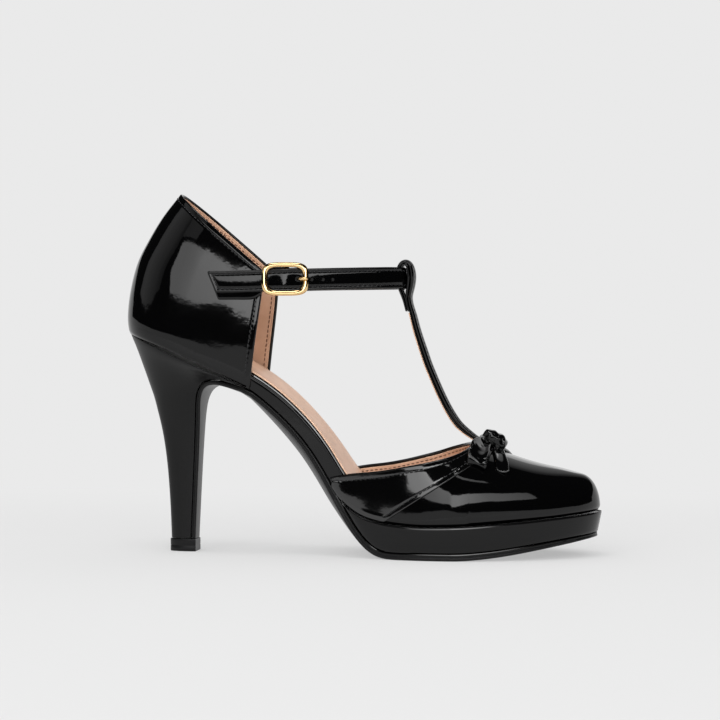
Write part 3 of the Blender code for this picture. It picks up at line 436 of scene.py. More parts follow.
def addLoft(name, rings, finish, replaced=(), around=False, sharp=60):
    points, faces = closedLoft(rings, around)
    return addPiece(name, points, facingOut(points, faces), finish, replaced, sharp)


def joined(bodies):
    points, faces = [], []
    for bodyPoints, bodyFaces in bodies:
        faces += [[v + len(points) for v in face] for face in bodyFaces]
        points += bodyPoints.tolist()
    return points, faces


def unevenness(grid, size, amount, seed):
    # soft waves of a stretched skin
    start = Vector((seed, seed * 2, seed * 3))
    waves = np.array([noise.noise(Vector(p) / size + start) for p in grid.reshape(-1, 3)])
    return waves.reshape(grid.shape[:-1]) * amount


def calmed(first, second, reach=3):
    # lets the waves fade out towards two edges
    return np.clip(first / reach, 0, 1) * np.clip(second / reach, 0, 1)


stitch = {
    "pitch": 2.3,
    "length": 1.75,
    "radius": 0.25,
    "sides": 6,
    "height": 0.8,
    "shares": [0, 0.12, 0.35, 0.65, 0.88, 1],
    "swell": [0.35, 0.8, 1, 1, 0.8, 0.35],
    "rise": [-0.22, -0.02, 0.06, 0.06, -0.02, -0.22],
    "scallop": 0.28,
}


def stitchRow(path, normals, lift=0.1):
    # small rounded bars along a line, each dipping into the leather at its ends
    pitch, length = stitch["pitch"], stitch["length"]
    run = lineRun(path)
    starts = np.arange(max(1, int(run[-1] / pitch))) * pitch + (pitch - length) / 2
    spots = starts[:, None] + np.array(stitch["shares"]) * length
    spine = resample(path, spots, run)
    upward = unit(resample(normals, spots, run))
    across = unit(np.cross(unit(np.gradient(spine, axis=1)), upward))
    spine = spine + upward * (np.array(stitch["rise"]) + lift)[:, None]
    rings = []
    for turn in np.linspace(0, 2 * math.pi, stitch["sides"], endpoint=False):
        out = across * math.cos(turn) + stitch["height"] * upward * math.sin(turn)
        rings.append(spine + out * (stitch["radius"] * np.array(stitch["swell"]))[:, None])
    return [closedLoft(bar) for bar in np.stack(rings, axis=2)]


def addStitches(name, bars, finish):
    points, faces = joined(bars)
    addPiece(name, points, faces, finish, sharp=80)


def groove(distance, along, depth, wide=0.5):
    # line pulled in by the thread, deepest where each stitch goes through
    scallop = 1 - stitch["scallop"] * (1 - np.cos(2 * math.pi * along / stitch["pitch"]))
    return -depth * scallop * np.exp(-(distance / wide) ** 2)


def edgeRows(length, edge, count):
    # distances from an edge: close together near it, then widening to the far side
    edge = np.asarray(edge, float)
    squeeze = min(1.0, 0.75 * length / edge[-1])
    near = edge * squeeze
    step = (edge[-1] - edge[-2]) * squeeze
    rest = length - near[-1]
    t = np.linspace(0, 1, count + 1)[1:]
    lead = min(1.0, step * count / rest)
    far = near[-1] + rest * (lead * t + (1 - lead) * t ** 2)
    return np.concatenate([near, far])


edgeSteps = [0, 0.3, 0.6, 0.9, 1.2, 1.5, 1.75, 2.0, 2.2, 2.4, 2.65, 2.9, 3.2, 3.6, 4.1, 4.7]
stitchInset = 2.2
stitchStep = edgeSteps.index(stitchInset)
outerWall = 1.4
fullWall = 1.8
hairline = 0.02
upperRows = []
liningRows = []


def edgeColumn(column, rows):
    # a column that starts at the free edge, with new rows from its foot up
    places = edgeRows(lineRun(column)[-1], edgeSteps, rows)
    return resample(column, places)[::-1], places[::-1]


def lastedRim(fromFoot):
    # cut flat at the lasted edge, rounded at the free ones
    return np.where(fromFoot < 0.01, 0.15, 0.9)


def stitchLining(face, normals, row):
    inside = face[row] - normals[row] * (fullWall - outerWall)
    return stitchRow(inside, -normals[row], 0.05)


# vamp: the lasted toe part, open at the throat
vamp = {
    "x": [-12, -3, 11, 19, 26.5, 34.7, 40, 46, 52, 58, 65, 71, 78, 86, 94, 101, 112],
    "ridge": [124, 123, 117, 108, 95, 77.5, 66.5, 57.4, 52.6, 50.2, 48.1, 46.3, 44.1, 42, 40.2, 38.3, 36.2],
    "fullness": [1.32, 1.32, 1.36, 1.45, 1.6, 1.86, 2.1, 2.35, 2.52, 2.6, 2.6, 2.6, 2.55, 2.5, 2.4, 2.3,
                 2.25],
    "topX": [-12, -3, 11, 19, 26.5, 34.7, 40, 46, 52, 54.2],
    "lateralTop": [35.8, 37.7, 39.3, 40.6, 42.1, 43.7, 45, 46.7, 49.2, 50.3],
    "medialTop": [36.4, 39.2, 40.9, 42.4, 44.2, 46.4, 48.2, 50, 51.3, 51.5],
    "back": -10.4,
    "throat": 54.2,
    "drawIn": 1.8,
    "tuck": 1.5,
    "tuckRise": 2.6,
    "fanStart": 60.0,
    "fanShift": 19.0,
    "toeRounding": 0.48,
    "spread": 0.9,
    "edgeColumns": 112,
    "toeColumns": 100,
    "rows": 34,
}
ridge = softCurve(vamp["x"], vamp["ridge"], 2.0)
fullness = softCurve(vamp["x"], vamp["fullness"], 3.0)
topline = {
    "lateral": softCurve(vamp["topX"], vamp["lateralTop"], 1.2),
    "medial": softCurve(vamp["topX"], vamp["medialTop"], 1.2),
}


def dome(reach, full):
    return (1 - (1 - np.clip(reach, 0, 1)) ** full) ** (1 / full)


def toeRounding(x):
    past = np.maximum(0, x - vamp["fanStart"]) / (last["toeEnd"] - vamp["fanStart"])
    return x - vamp["fanShift"] * past ** 2, 1 - (1 - vamp["toeRounding"]) * past ** 3


def vampPoint(side, footX, turn):
    # place on the last over the lasted edge: turn 0 at the edge, a quarter turn at the ridge
    footX, turn = np.broadcast_arrays(np.asarray(footX, float), np.asarray(turn, float))
    ridgeX, rounding = toeRounding(footX)
    ridgeY = centreLine(ridgeX)
    footY = centreLine(footX) + signs[side] * halfWidth(side, footX)
    foot = bed(footX) + gap
    reach = 1 - np.maximum(np.cos(turn), 0) ** vamp["spread"]
    x = footX + (ridgeX - footX) * reach
    y = footY + (ridgeY - footY) * reach
    z = foot + (ridge(x) - foot) * dome(reach / rounding, fullness(footX))
    tuck = vamp["tuck"] * np.maximum(0, 1 - (z - foot) / vamp["tuckRise"]) ** 2
    length = np.maximum(np.hypot(ridgeX - footX, ridgeY - footY), 1e-6)
    x = x + (ridgeX - footX) / length * tuck
    y = y + (ridgeY - footY) / length * tuck
    return np.stack([x, y, z], axis=-1)


def turnAt(footX, height):
    # turn at which the last reaches a height over the lasted edge
    full = fullness(footX)
    foot = bed(footX) + gap
    rise = np.clip((height - foot) / (ridge(footX) - foot), 0, 1)
    reach = toeRounding(footX)[1] * (1 - (1 - rise ** full) ** (1 / full))
    return np.arccos((1 - reach) ** (1 / vamp["spread"]))


def topTurn(side, footX, inset):
    # turn of the topline, drawn in so that it closes on the ridge at the throat
    short = ridge(vamp["throat"]) - topline[side](vamp["throat"])
    top = topline[side](footX) + short * np.exp(np.minimum(footX - vamp["throat"], 0) / vamp["drawIn"])
    return turnAt(footX, top - inset)


closing = vamp["throat"] - (vamp["throat"] - vamp["back"]) * np.linspace(1, 0, 3000) ** 3
edgeRun = lineRun(vampPoint("lateral", closing, topTurn("lateral", closing, 0.0)))
toeLine = lastedEdge("lateral", 0.0)
toeLine = toeLine[toeLine[:, 0] > vamp["throat"] + 0.5]
throatColumn = vamp["edgeColumns"]
feet = np.concatenate([np.interp(np.linspace(0, edgeRun[-1], throatColumn + 1), edgeRun, closing),
                       evenSteps(toeLine, vamp["toeColumns"])[:, 0]])


def vampColumns(side):
    made = []
    for footX in feet:
        end = topTurn(side, footX, 0.0) if footX < vamp["throat"] else math.pi / 2
        made.append(edgeColumn(vampPoint(side, footX, np.linspace(end, 0, 161)), vamp["rows"]))
    return [np.array(part) for part in zip(*made)]


def bothSides(columnsOf):
    # lateral columns towards the toe, then the medial ones back
    return [np.concatenate([a, b[-2::-1]]) for a, b in zip(columnsOf("lateral"), columnsOf("medial"))]


vampGrid, fromTop = bothSides(vampColumns)
columnCount, rowCount = vampGrid.shape[:2]
topRow = rowCount - 1
vampIndex = gridIndex(vampGrid)
for c in range(throatColumn, len(feet) - 1):                      # both sides meet on the ridge
    vampIndex[columnCount - 1 - c, topRow] = vampIndex[c, topRow]
fromFoot = fromTop[:, :1] - fromTop
waves = unevenness(vampGrid, 16, 0.16, 1.3) * calmed(fromTop, fromFoot)
addSheet("vamp_upper", vampGrid, waves, -outerWall, patent, ("vamp",),
         lastedRim(fromFoot), 5, vampIndex)

# lining of the vamp, set back from its edge
liningTop = topRow - edgeSteps.index(0.9)
_, face, normals, flat = addLining("vamp_lining", vampGrid, -outerWall - hairline, -fullWall,
                                   vampIndex[1:-1, :liningTop + 1])
for c0, c1 in ((1, throatColumn - 3), (columnCount - throatColumn + 1, columnCount - 3)):
    liningRows += stitchLining(face, normals, flat[c0:c1, topRow - stitchStep])

# side panel: a collar laid over the vamp from the topline to the seam and the lasted edge
panel = {
    "raise": 0.7,
    "under": 0.04,
    "upright": 0.35,
    "uprightLength": 6.0,
    "topGroove": 0.14,
    "seamGroove": 0.16,
    "edge": 0.5,
    "throat": 55.1,
    "back": -9.2,
    "footRise": 1.0,
    "seamFoot": (15.5, 17.6),
    "seamSlope": 0.646,
    "seamLimit": 75.0,
    "edgeShare": 0.45,
    "seamSteps": [0, 0.12, 0.28, 0.5, 0.8, 1.1, 1.4, 1.65, 1.9, 2.15, 2.4, 2.7, 3.1, 3.6],
    "columns": 150,
    "rows": 14,
}
seamStitch = panel["seamSteps"].index(1.9)


def seamFeet(side, turns):
    # feet of the seam's points, one for each turn
    low = np.full(len(turns), vamp["back"])
    high = np.full(len(turns), panel["seamLimit"])
    for _ in range(50):
        middle = (low + high) / 2
        p = vampPoint(side, middle, turns)
        ahead = p[:, 0] - panel["seamFoot"][0] - (p[:, 2] - panel["seamFoot"][1]) / panel["seamSlope"] > 0
        high = np.where(ahead, middle, high)
        low = np.where(ahead, low, middle)
    return (low + high) / 2


def panelRows(length):
    most = panel["edgeShare"] * length
    near = np.asarray(edgeSteps) * min(1.0, most / edgeSteps[-1])
    far = np.asarray(panel["seamSteps"]) * min(1.0, most / panel["seamSteps"][-1])
    between = np.linspace(near[-1], length - far[-1], panel["rows"] + 2)[1:-1]
    return np.concatenate([near, between, length - far[::-1]])


def panelColumns(side):
    reach = panel["throat"] - panel["back"]
    topX = panel["throat"] - reach * np.linspace(1, 0, 2000) ** 3
    top = np.column_stack([topX, topTurn(side, topX, panel["edge"])])
    top[-1, 1] = math.pi / 2
    lowest = turnAt(panel["seamFoot"][0], bed(panel["seamFoot"][0]) + gap + panel["footRise"])
    seamTurns = np.linspace(lowest, math.pi / 2, 600)
    seam = np.column_stack([seamFeet(side, seamTurns), seamTurns])
    footX = np.linspace(panel["back"], seam[0, 0], 300, endpoint=False)
    foot = np.column_stack([footX, turnAt(footX, bed(footX) + gap + panel["footRise"])])
    ends = []
    for line in (top, np.concatenate([foot, seam])):
        run = lineRun(vampPoint(side, line[:, 0], line[:, 1]))
        ends.append(resample(line, np.linspace(0, run[-1], panel["columns"]), run))
    onSeam = ends[1][:, 0] > seam[0, 0]
    columns, distances = [], []
    for start, end in zip(*ends):
        place = start + (end - start) * np.linspace(0, 1, 161)[:, None]
        column = vampPoint(side, place[:, 0], place[:, 1])
        distances.append(panelRows(lineRun(column)[-1]))
        columns.append(resample(column, distances[-1]))
    return np.array(columns), np.array(distances), onSeam


panelGrid, panelDistance, onSeam = bothSides(panelColumns)
fromSeam = panelDistance[:, -1:] - panelDistance
seamRow = panelGrid.shape[1] - 1 - seamStitch
runTop = lineRun(panelGrid[:, stitchStep])[:, None]
runSeam = lineRun(panelGrid[:, seamRow])[:, None]
raised = panel["raise"] + panel["upright"] * np.exp(-panelDistance / panel["uprightLength"])
raised += groove(panelDistance - panelDistance[:, stitchStep, None], runTop, panel["topGroove"])
raised += groove(fromSeam - fromSeam[:, seamRow, None], runSeam, panel["seamGroove"]) * onSeam[:, None]
raised += unevenness(panelGrid, 13, 0.2, 2.6) * calmed(panelDistance, fromSeam)
_, face, normals, flat = addSheet("side_panel", panelGrid, raised, panel["under"], panelPatent,
                                  index=gridIndex(panelGrid)[:, ::-1])
seamColumns = np.nonzero(onSeam)[0]
for row in (flat[2:-2, -1 - stitchStep], flat[seamColumns[1]:seamColumns[-1], -1 - seamRow]):
    upperRows += stitchRow(face[row], normals[row])
print("vamp made")

# quarter: the heel cup
quarter = {
    "level": [0, 0.1, 0.22, 0.35, 0.52, 0.69, 0.86, 1],
    "backX": [-109.6, -110.6, -110.1, -108.6, -105.7, -99.9, -93, -85.6],
    "frontX": [-48.4, -47.9, -47.2, -46.4, -45.2, -44, -42.9, -42.2],
    "width": [1, 1.012, 1.005, 0.993, 0.97, 0.933, 0.875, 0.811],
    "narrowing": [0, 0, 0.03, 0.06, 0.1, 0.15, 0.21, 0.26],
    "backTop": 168.8,
    "frontTop": 131.0,
    "groove": 0.3,
    "footRoll": (0.25, 1.2),
    "columns": 76,
    "rows": 60,
}
quarterCurves = {key: softCurve(quarter["level"], quarter[key], 0.035)
                 for key in ("backX", "frontX", "width", "narrowing")}


def quarterPoint(footX, footY, level):
    u = (footX - quarter["backX"][0]) / (quarter["frontX"][0] - quarter["backX"][0])
    footZ = bed(footX) + gap
    topZ = quarter["backTop"] + (quarter["frontTop"] - quarter["backTop"]) * u
    back, front = quarterCurves["backX"](level), quarterCurves["frontX"](level)
    x = back + (front - back) * u
    y = footY * quarterCurves["width"](level) * (1 - quarterCurves["narrowing"](level) * (1 - u) ** 2)
    return np.stack(np.broadcast_arrays(x, y, footZ + (topZ - footZ) * level), axis=-1)


quarterFeet = []
endX = quarter["frontX"][0]
for side in ("medial", "lateral"):
    line = lastedEdge(side, 0.0)
    corner = [[endX, centreLine(endX) + signs[side] * halfWidth(side, endX)]]
    line = np.concatenate([line[line[:, 0] < endX], corner])[::-1]
    line = resample(line, edgeRows(lineRun(line)[-1], edgeSteps, quarter["columns"]))
    quarterFeet.append(line if side == "medial" else line[::-1][1:])
levels = np.linspace(1, 0, 161)
made = [edgeColumn(quarterPoint(x, y, levels), quarter["rows"]) for x, y in np.concatenate(quarterFeet)]
quarterGrid, qDistance = [np.array(part) for part in zip(*made)]
qColumns, qRows = quarterGrid.shape[:2]
qTop = qRows - 1
qIndex = gridIndex(quarterGrid)
qFoot = qDistance[:, :1] - qDistance
qAlong = lineRun(quarterGrid)
qUp = lineRun(quarterGrid.swapaxes(0, 1)).T
fromFront = np.minimum(qAlong, qAlong[-1:] - qAlong)
inCorner = np.minimum(qDistance, fromFront)
lift = groove(inCorner - stitchInset, np.where(qDistance < fromFront, qAlong, qUp), quarter["groove"])
lift += unevenness(quarterGrid, 18, 0.16, 4.1) * calmed(inCorner, qFoot)
lift -= quarter["footRoll"][0] * np.maximum(0, 1 - qFoot / quarter["footRoll"][1]) ** 2
_, face, normals, _ = addSheet("quarter_upper", quarterGrid, lift, -outerWall, patent,
                               ("quarter",), lastedRim(qFoot), 5)


def cupPath(index, column):
    # up one front edge, along the collar and down the other front edge
    top = qTop - stitchStep
    return np.concatenate([index[column, 4:top], index[column:-column, top], index[-1 - column, 4:top][::-1]])


path = cupPath(qIndex, stitchStep)
upperRows += stitchRow(face[path], normals[path])
back = edgeSteps.index(0.6)
_, face, normals, flat = addLining("quarter_lining", quarterGrid, -outerWall - hairline, -fullWall,
                                   qIndex[back:-back, :qTop - back + 1])
liningRows += stitchLining(face, normals, cupPath(flat, stitchStep - back))
print("quarter made")


# straps

def stripGrid(centres, side, halves, across):
    centres = np.asarray(centres, float)
    along = unit(np.gradient(centres, axis=0))
    side = np.broadcast_to(np.asarray(side, float), centres.shape)
    side = unit(side - along * np.sum(side * along, axis=1, keepdims=True))
    reach = np.asarray(across)[None, :] * np.asarray(halves)[:, None]
    return centres[:, None] + side[:, None] * reach[..., None]


ankle = {
    "half": 5.3,
    "thick": 1.8,
    "lining": 0.35,
    "centreX": -57.0,
    "front": 21.6,
    "lateral": 27.7,
    "medial": 25.5,
    "sideZ": 126.3,
    "frontZ": 128.6,
    "medialRise": 1.9,
    "lean": 0.068,
    "widening": 0.5,
    "wideLength": 8.5,
    "tailEnd": -65.6,
    "tailSlant": 2.4,
    "slantLength": 28.0,
    "medialEnd": -60.0,
    "bump": 1.2,
    "bumpLength": 5.2,
    "steps": [0, 0.3, 0.6, 0.85, 1.1, 1.35, 1.55, 1.75, 2.0, 2.3, 2.7, 3.2],
    "plainFrom": 3.6,
    "medialCut": 1.0,
    "stitchInset": 1.1,
    "groove": (0.26, 0.45),
    "dome": 0.06,
    "domeHalf": 0.62,
    "domeFade": 4.0,
    "count": 440,
    "holes": (-19.0, -13.9, -9.6),
    # holes stop short of the lining so a black floor shows where a through hole would be dark with shade:
    # painted shade
    "holeShadeFloor": -0.1,
    "holeZ": 127.3,
    "holeRadius": 0.75,
    "holeSides": 28,
    "holeStart": -7.0,
}
buckle = {
    "x": -31.2,
    "z": 127.5,
    "outer": (10.8, 7.7),
    "inner": (8.2, 5.4),
    "squareness": 3.9,
    "depth": 1.15,
    "tilt": 0.1,
    "span": 19.0,
    "barRadius": 0.7,
    "barCorner": 0.7,
    "prongRadius": 0.75,
    "prongBehind": [(2.9, -0.2), (4.2, -0.6), (5.2, -0.5), (5.8, 0.6), (5.9, 2.2), (6.2, 3.8)],
    "prongBefore": [(7.0, -0.6), (8.2, 0.0), (9.5, 0.15), (10.6, -0.1)],
    "holeReach": 5.9,
    "holeSize": (1.5, 1.25),
}


def strapPath(count):
    reach = ankle["front"] - ankle["centreX"]
    turns = np.linspace(-math.pi / 2, math.pi / 2, 721)
    wide = np.where(turns < 0, ankle["lateral"], ankle["medial"])
    oval = np.stack([ankle["centreX"] + reach * np.cos(turns), wide * np.sin(turns),
                     ankle["sideZ"] + (ankle["frontZ"] - ankle["sideZ"]) * np.cos(turns)
                     + ankle["medialRise"] * np.maximum(0, np.sin(turns)) ** 2], axis=1)
    tailX = np.linspace(ankle["tailEnd"], ankle["centreX"], 40, endpoint=False)
    tail = np.stack([tailX, np.full(40, -ankle["lateral"]), np.full(40, ankle["sideZ"])], axis=1)
    endX = np.linspace(ankle["centreX"], ankle["medialEnd"], 20)[1:]
    endZ = ankle["sideZ"] + ankle["medialRise"]
    end = np.stack([endX, np.full(19, ankle["medial"]), np.full(19, endZ)], axis=1)
    line = np.concatenate([tail, oval, end])
    swell = ankle["bump"] * np.exp(-((line[:, 0] - buckle["x"]) / ankle["bumpLength"]) ** 2)
    line[:, 1] -= np.where(line[:, 1] < 0, swell, 0.0)
    return eased(evenSteps(line, count), 4)


def strapSide(x):
    reach = (x - ankle["centreX"]) / (ankle["front"] - ankle["centreX"])
    return -ankle["lateral"] * math.sqrt(1 - reach * reach)


half = ankle["thick"] / 2
path = strapPath(ankle["count"])
run = lineRun(path)
closeRows = np.array(ankle["steps"]) + half
strapAcross = np.concatenate([closeRows, [ankle["half"]], 2 * ankle["half"] - closeRows[::-1]])
strapAcross = (strapAcross - ankle["half"]) / ankle["half"]
plainCount = ankle["count"] - len(closeRows)
plainRows = np.linspace(ankle["plainFrom"] + half, run[-1] - ankle["medialCut"], plainCount)
places = np.concatenate([closeRows, plainRows])
path = resample(path, places, run)
along = unit(np.gradient(path, axis=0))
inward = np.column_stack([-along[:, 1], along[:, 0], np.zeros(len(path))])
atBuckle = np.exp(-((path[:, 0] - buckle["x"]) / ankle["wideLength"]) ** 6) * (path[:, 1] < 0)
strapGrid = stripGrid(path, np.array([0, 0, 1]) + ankle["lean"] * inward,
                      ankle["half"] + ankle["widening"] * atBuckle, strapAcross)
pull = np.maximum(0, 1 - places / ankle["slantLength"])[:, None]
strapGrid[:, :, 0] -= pull * ankle["tailSlant"] * (strapGrid[:, :, 2] - ankle["sideZ"]) / ankle["half"]
fromSide = ankle["half"] * (1 - np.abs(strapAcross))[None, :]
fromTail = places[:, None]
inset = half + ankle["stitchInset"]
bulge = ankle["dome"] * (1 - np.clip(np.abs(strapAcross) / ankle["domeHalf"], 0, 1) ** 2)
lift = bulge[None, :] * np.clip(fromTail / ankle["domeFade"], 0, 1)
fromRow = np.minimum(fromSide, fromTail) - inset
lift += groove(fromRow, np.where(fromSide < fromTail, fromTail, 0), *ankle["groove"])
lift += unevenness(strapGrid, 9, 0.1, 7.7)
anklePiece, face, normals, flat = addSheet(
    "ankle_strap_leather", strapGrid, half + lift, ankle["lining"] - half, patent,
    ("ankle_strap",), steps=7)
addLining("ankle_strap_lining", strapGrid[2:, 2:-2], ankle["lining"] - half - hairline, -half)
edgeStep = int(np.argmin(np.abs(fromSide[0] - inset)[:len(closeRows) + 1]))
tailRow = int(np.argmin(np.abs(places - inset)))
path = np.concatenate([flat[tailRow:, edgeStep][::-1], flat[tailRow, edgeStep + 1:-1 - edgeStep],
                       flat[tailRow:, -1 - edgeStep]])
strapRows = stitchRow(face[path], normals[path])


# round punched holes along y, cut blind: the black leather left at the bottom of each stands in for the shade
# inside a through hole, painted shade
def cutHoles(piece, holes):
    # round punched holes along y
    bodies = []
    turns = np.linspace(0, 2 * math.pi, ankle["holeSides"], endpoint=False)
    for x, y, z, wide, high, deep in holes:
        edge = np.column_stack([x + wide * np.cos(turns), np.full(len(turns), y), z + high * np.sin(turns)])
        bodies.append(closedLoft([edge + (0, depth, 0) for depth in (ankle["holeStart"], deep)]))
    points, faces = joined(bodies)
    punch = addShape("punch", placed(points), facingOut(points, faces))
    cut = piece.modifiers.new("holes", "BOOLEAN")
    cut.object = punch
    cut.solver = "EXACT"
    bpy.context.view_layer.update()
    made = bpy.data.meshes.new_from_object(piece.evaluated_get(bpy.context.evaluated_depsgraph_get()))
    piece.modifiers.clear()
    piece.data = made
    bpy.data.objects.remove(punch)


span = np.array([-0.5, 0.5]) * buckle["span"] + buckle["x"]
left, right = [np.array([x, strapSide(x), 0.0]) for x in span]
alongBuckle = unit(right - left)
outBuckle = np.array([alongBuckle[1], -alongBuckle[0], 0.0])
middle = (left + right) / 2 + outBuckle * (half + gap + buckle["depth"])
prongSpot = middle + alongBuckle * buckle["holeReach"]
punched = [(*prongSpot[:2], buckle["z"], *buckle["holeSize"], ankle["bump"] + ankle["holeShadeFloor"])]
for x in ankle["holes"]:
    punched.append((x, strapSide(x), ankle["holeZ"], *[ankle["holeRadius"]] * 2, ankle["holeShadeFloor"]))
cutHoles(anklePiece, punched)
print("ankle strap made")

# t-strap: two rounded layers and a thin lining, from the throat up to the loop
tStrap = {
    "x": [57.2, 55, 52.2, 48.8, 45.8, 42.3, 39.3, 36.7, 34.3, 32, 30.1, 28.2, 26.5, 25.1, 24.3, 23.5,
          23.1, 23.4, 23.8, 24.2, 24.2, 23.8, 22.9, 21.6, 20.3, 19, 18.5, 18.6, 19.4, 20.8, 21.7, 22.6],
    "z": [52.4, 53.5, 55.3, 57.9, 60.8, 66.1, 71.7, 77.3, 82.9, 88.5, 94.1, 99.8, 105.4, 111, 113.8, 116.8,
          120, 122.4, 125, 128, 130.6, 133.4, 135.5, 136, 135.5, 133.4, 130.6, 127.8, 124.4, 120.8, 118,
          113.6],
    "thick": [2, 2.2, 2.6, 2.9, 3.1, 3.1, 3.1, 3.1, 3.1, 3.1, 3.1, 3, 2.9, 2.8, 2.6, 2.5,
              2.5, 2.8, 3.2, 3.3, 3.3, 3, 2.6, 2.5, 2.4, 2.4, 2.4, 2.4, 2.3, 2.2, 2, 1.6],
    "across": [0.15, 0.3, 0.45, 0.58, 0.65, 0.72, 0.79, 0.86, 0.93, 1],
    "half": 4.6,
    "footHalf": 4.0,
    "footSteps": 38,
    "frontInset": 0.28,
    "backInset": 0.26,
    "liningInset": 0.35,
    "frontShare": 0.56,
    "crown": 0.7,
    "grooveAt": 0.72,
    "shareLength": 4.2,
    "groove": (0.2, 0.45),
    "lining": 0.45,
    "liningTop": 113.0,
    "count": 300,
}
tLine = throughPoints(np.stack([tStrap["x"], tStrap["z"], tStrap["thick"]], axis=1), tStrap["count"])
tLine = eased(tLine, 3)
tCentres = np.stack([tLine[:, 0], centreLine(tLine[:, 0]), tLine[:, 1]], axis=1)
tSteps = np.arange(tStrap["count"])
widening = np.clip(tSteps / tStrap["footSteps"], 0, 1)
tHalves = tStrap["footHalf"] + (tStrap["half"] - tStrap["footHalf"]) * widening
thick = tLine[:, 2:3]
tAcross = np.array([-t for t in tStrap["across"][::-1]] + [0] + tStrap["across"])


def tGrid(inset, across):
    return stripGrid(tCentres, (0, -1, 0), tHalves - inset, across)


front = tGrid(thick[:, 0] * tStrap["frontInset"], tAcross)
split = thick * (0.5 - tStrap["frontShare"])
fromRow = (np.abs(tAcross) - tStrap["grooveAt"])[None, :] * tStrap["shareLength"]
lift = thick / 2 + groove(fromRow, lineRun(tCentres)[:, None], *tStrap["groove"])
lift += tStrap["crown"] * (1 - tAcross ** 2)[None, :] * np.clip(thick / 3 - 0.1, 0, 1)
addSheet("t_strap_front", front, lift, split + hairline, patent, ("t_strap",))
lined = int(np.argmax(tLine[:, 1] > tStrap["liningTop"]))
spare = np.where(tSteps <= lined, tStrap["lining"], 0.0)[:, None]
back = tGrid(thick[:, 0] * tStrap["backInset"], tAcross[::2])
addSheet("t_strap_back", back, split - hairline, spare - thick / 2, patent, sharp=60)
inside = tGrid(tStrap["liningInset"], tAcross[::2])[:lined]
under = -thick[:lined] / 2
addLining("t_strap_lining", inside, under + tStrap["lining"] - hairline, under, rim=0.6)
print("t-strap made")


# buckle

def addTube(name, centres, radius, sides, finish, slot, replaced=()):
    centres = np.asarray(centres, float)
    turns = np.linspace(0, 2 * math.pi, sides, endpoint=False)[:, None]
    ways = unit(np.gradient(centres, axis=0))
    rings = []
    for centre, way, size in zip(centres, ways, np.broadcast_to(radius, len(centres))):
        across = np.array([0.0, 0.0, 1.0] if abs(way[2]) < 0.8 else [1.0, 0.0, 0.0])
        first = unit(across - way * across.dot(way))
        rings.append(centre + size * (np.cos(turns) * first + np.sin(turns) * np.cross(way, first)))
    addLoft(name, rings, finish, replaced)


power = 2 / buckle["squareness"]
rings = []
for turn in np.linspace(0, 2 * math.pi, 168, endpoint=False):
    ca = signedPower(math.cos(turn), power)
    sa = signedPower(math.sin(turn), power)
    ring = []
    for spin in np.linspace(0, 2 * math.pi, 24, endpoint=False):
        out = (1 + math.cos(spin)) / 2
        reach = (buckle["inner"][0] + (buckle["outer"][0] - buckle["inner"][0]) * out) * ca
        rise = (buckle["inner"][1] + (buckle["outer"][1] - buckle["inner"][1]) * out) * sa
        ring.append(middle + alongBuckle * reach + np.array([0, 0, buckle["z"] + rise])
                    + outBuckle * (buckle["depth"] * math.sin(spin) - buckle["tilt"] * rise))
    rings.append(ring)
addLoft("buckle_ring", rings, gold, ("buckle_frame",), around=True)

tab = {
    "thick": 0.9,
    "half": 3.9,
    "edge": 0.4,
    "gap": 0.4,
    "drop": 0.2,
    "back": -63.6,
    "quarterEnd": -42.2,
    # the sewn end drops about 5 mm and is slanted to fill the tail's dark reflection and shadow on the
    # quarter: painted reflection and shadow
    "reflectionDrop": 5.0,
    "dropFrom": -44.5,
    "dropLength": 0.9,
    "levelFrom": 60,
    "backSlant": 0.4,
    "slantLength": 9.0,
    "lean": 0.035,
    "bends": (-38.0, -34.6),
    "return": 3.0,
    "widening": 1.9,
    "wideFrom": -38.5,
    "wideLength": 0.8,
}
innerFace = -strapSide(buckle["x"]) + ankle["bump"] - ankle["thick"] / 2
barDepth = -middle[1] - (innerFace - gap - tab["thick"] - gap - buckle["barRadius"])
barRise = (buckle["outer"][1] + buckle["inner"][1]) / 2
barBack = middle - outBuckle * barDepth
bend = buckle["barCorner"] * (1 - math.sqrt(0.5))
upperBar = [(middle, barRise), (barBack + outBuckle * buckle["barCorner"], barRise),
            (barBack + outBuckle * bend, barRise - bend), (barBack, barRise - buckle["barCorner"])]
corners = upperBar + [(barBack, 0.0)] + [(p, -z) for p, z in upperBar[::-1]]
barLine = throughPoints([(p[0], p[1], buckle["z"] + z) for p, z in corners], 40)
addTube("buckle_bar", barLine, buckle["barRadius"], 14, gold, "gold_metal")

over = buckle["depth"] + gap + buckle["prongRadius"]
places = [(a, o - barDepth) for a, o in buckle["prongBehind"]]
places += [(a, o + over) for a, o in buckle["prongBefore"]]
prongLine = throughPoints(places, 60)
prongCentres = middle + alongBuckle * prongLine[:, :1] + outBuckle * prongLine[:, 1:] + (0, 0, buckle["z"])
toEnd = np.linalg.norm(prongCentres - prongCentres[-1], axis=1)
taper = np.sqrt(np.clip(1 - np.maximum(0, 1 - toEnd / buckle["prongRadius"]) ** 2, 0.02, 1))
addTube("buckle_pin", prongCentres, buckle["prongRadius"] * taper, 16, gold, "gold_metal", ("buckle_prong",))


def quarterSide(x):
    near = quarterGrid[qColumns // 2:].reshape(-1, 3)
    near = near[(np.abs(near[:, 2] - ankle["sideZ"]) < ankle["half"] + 1.4) & (np.abs(near[:, 0] - x) < 3.0)]
    return (-near[:, 1]).max()


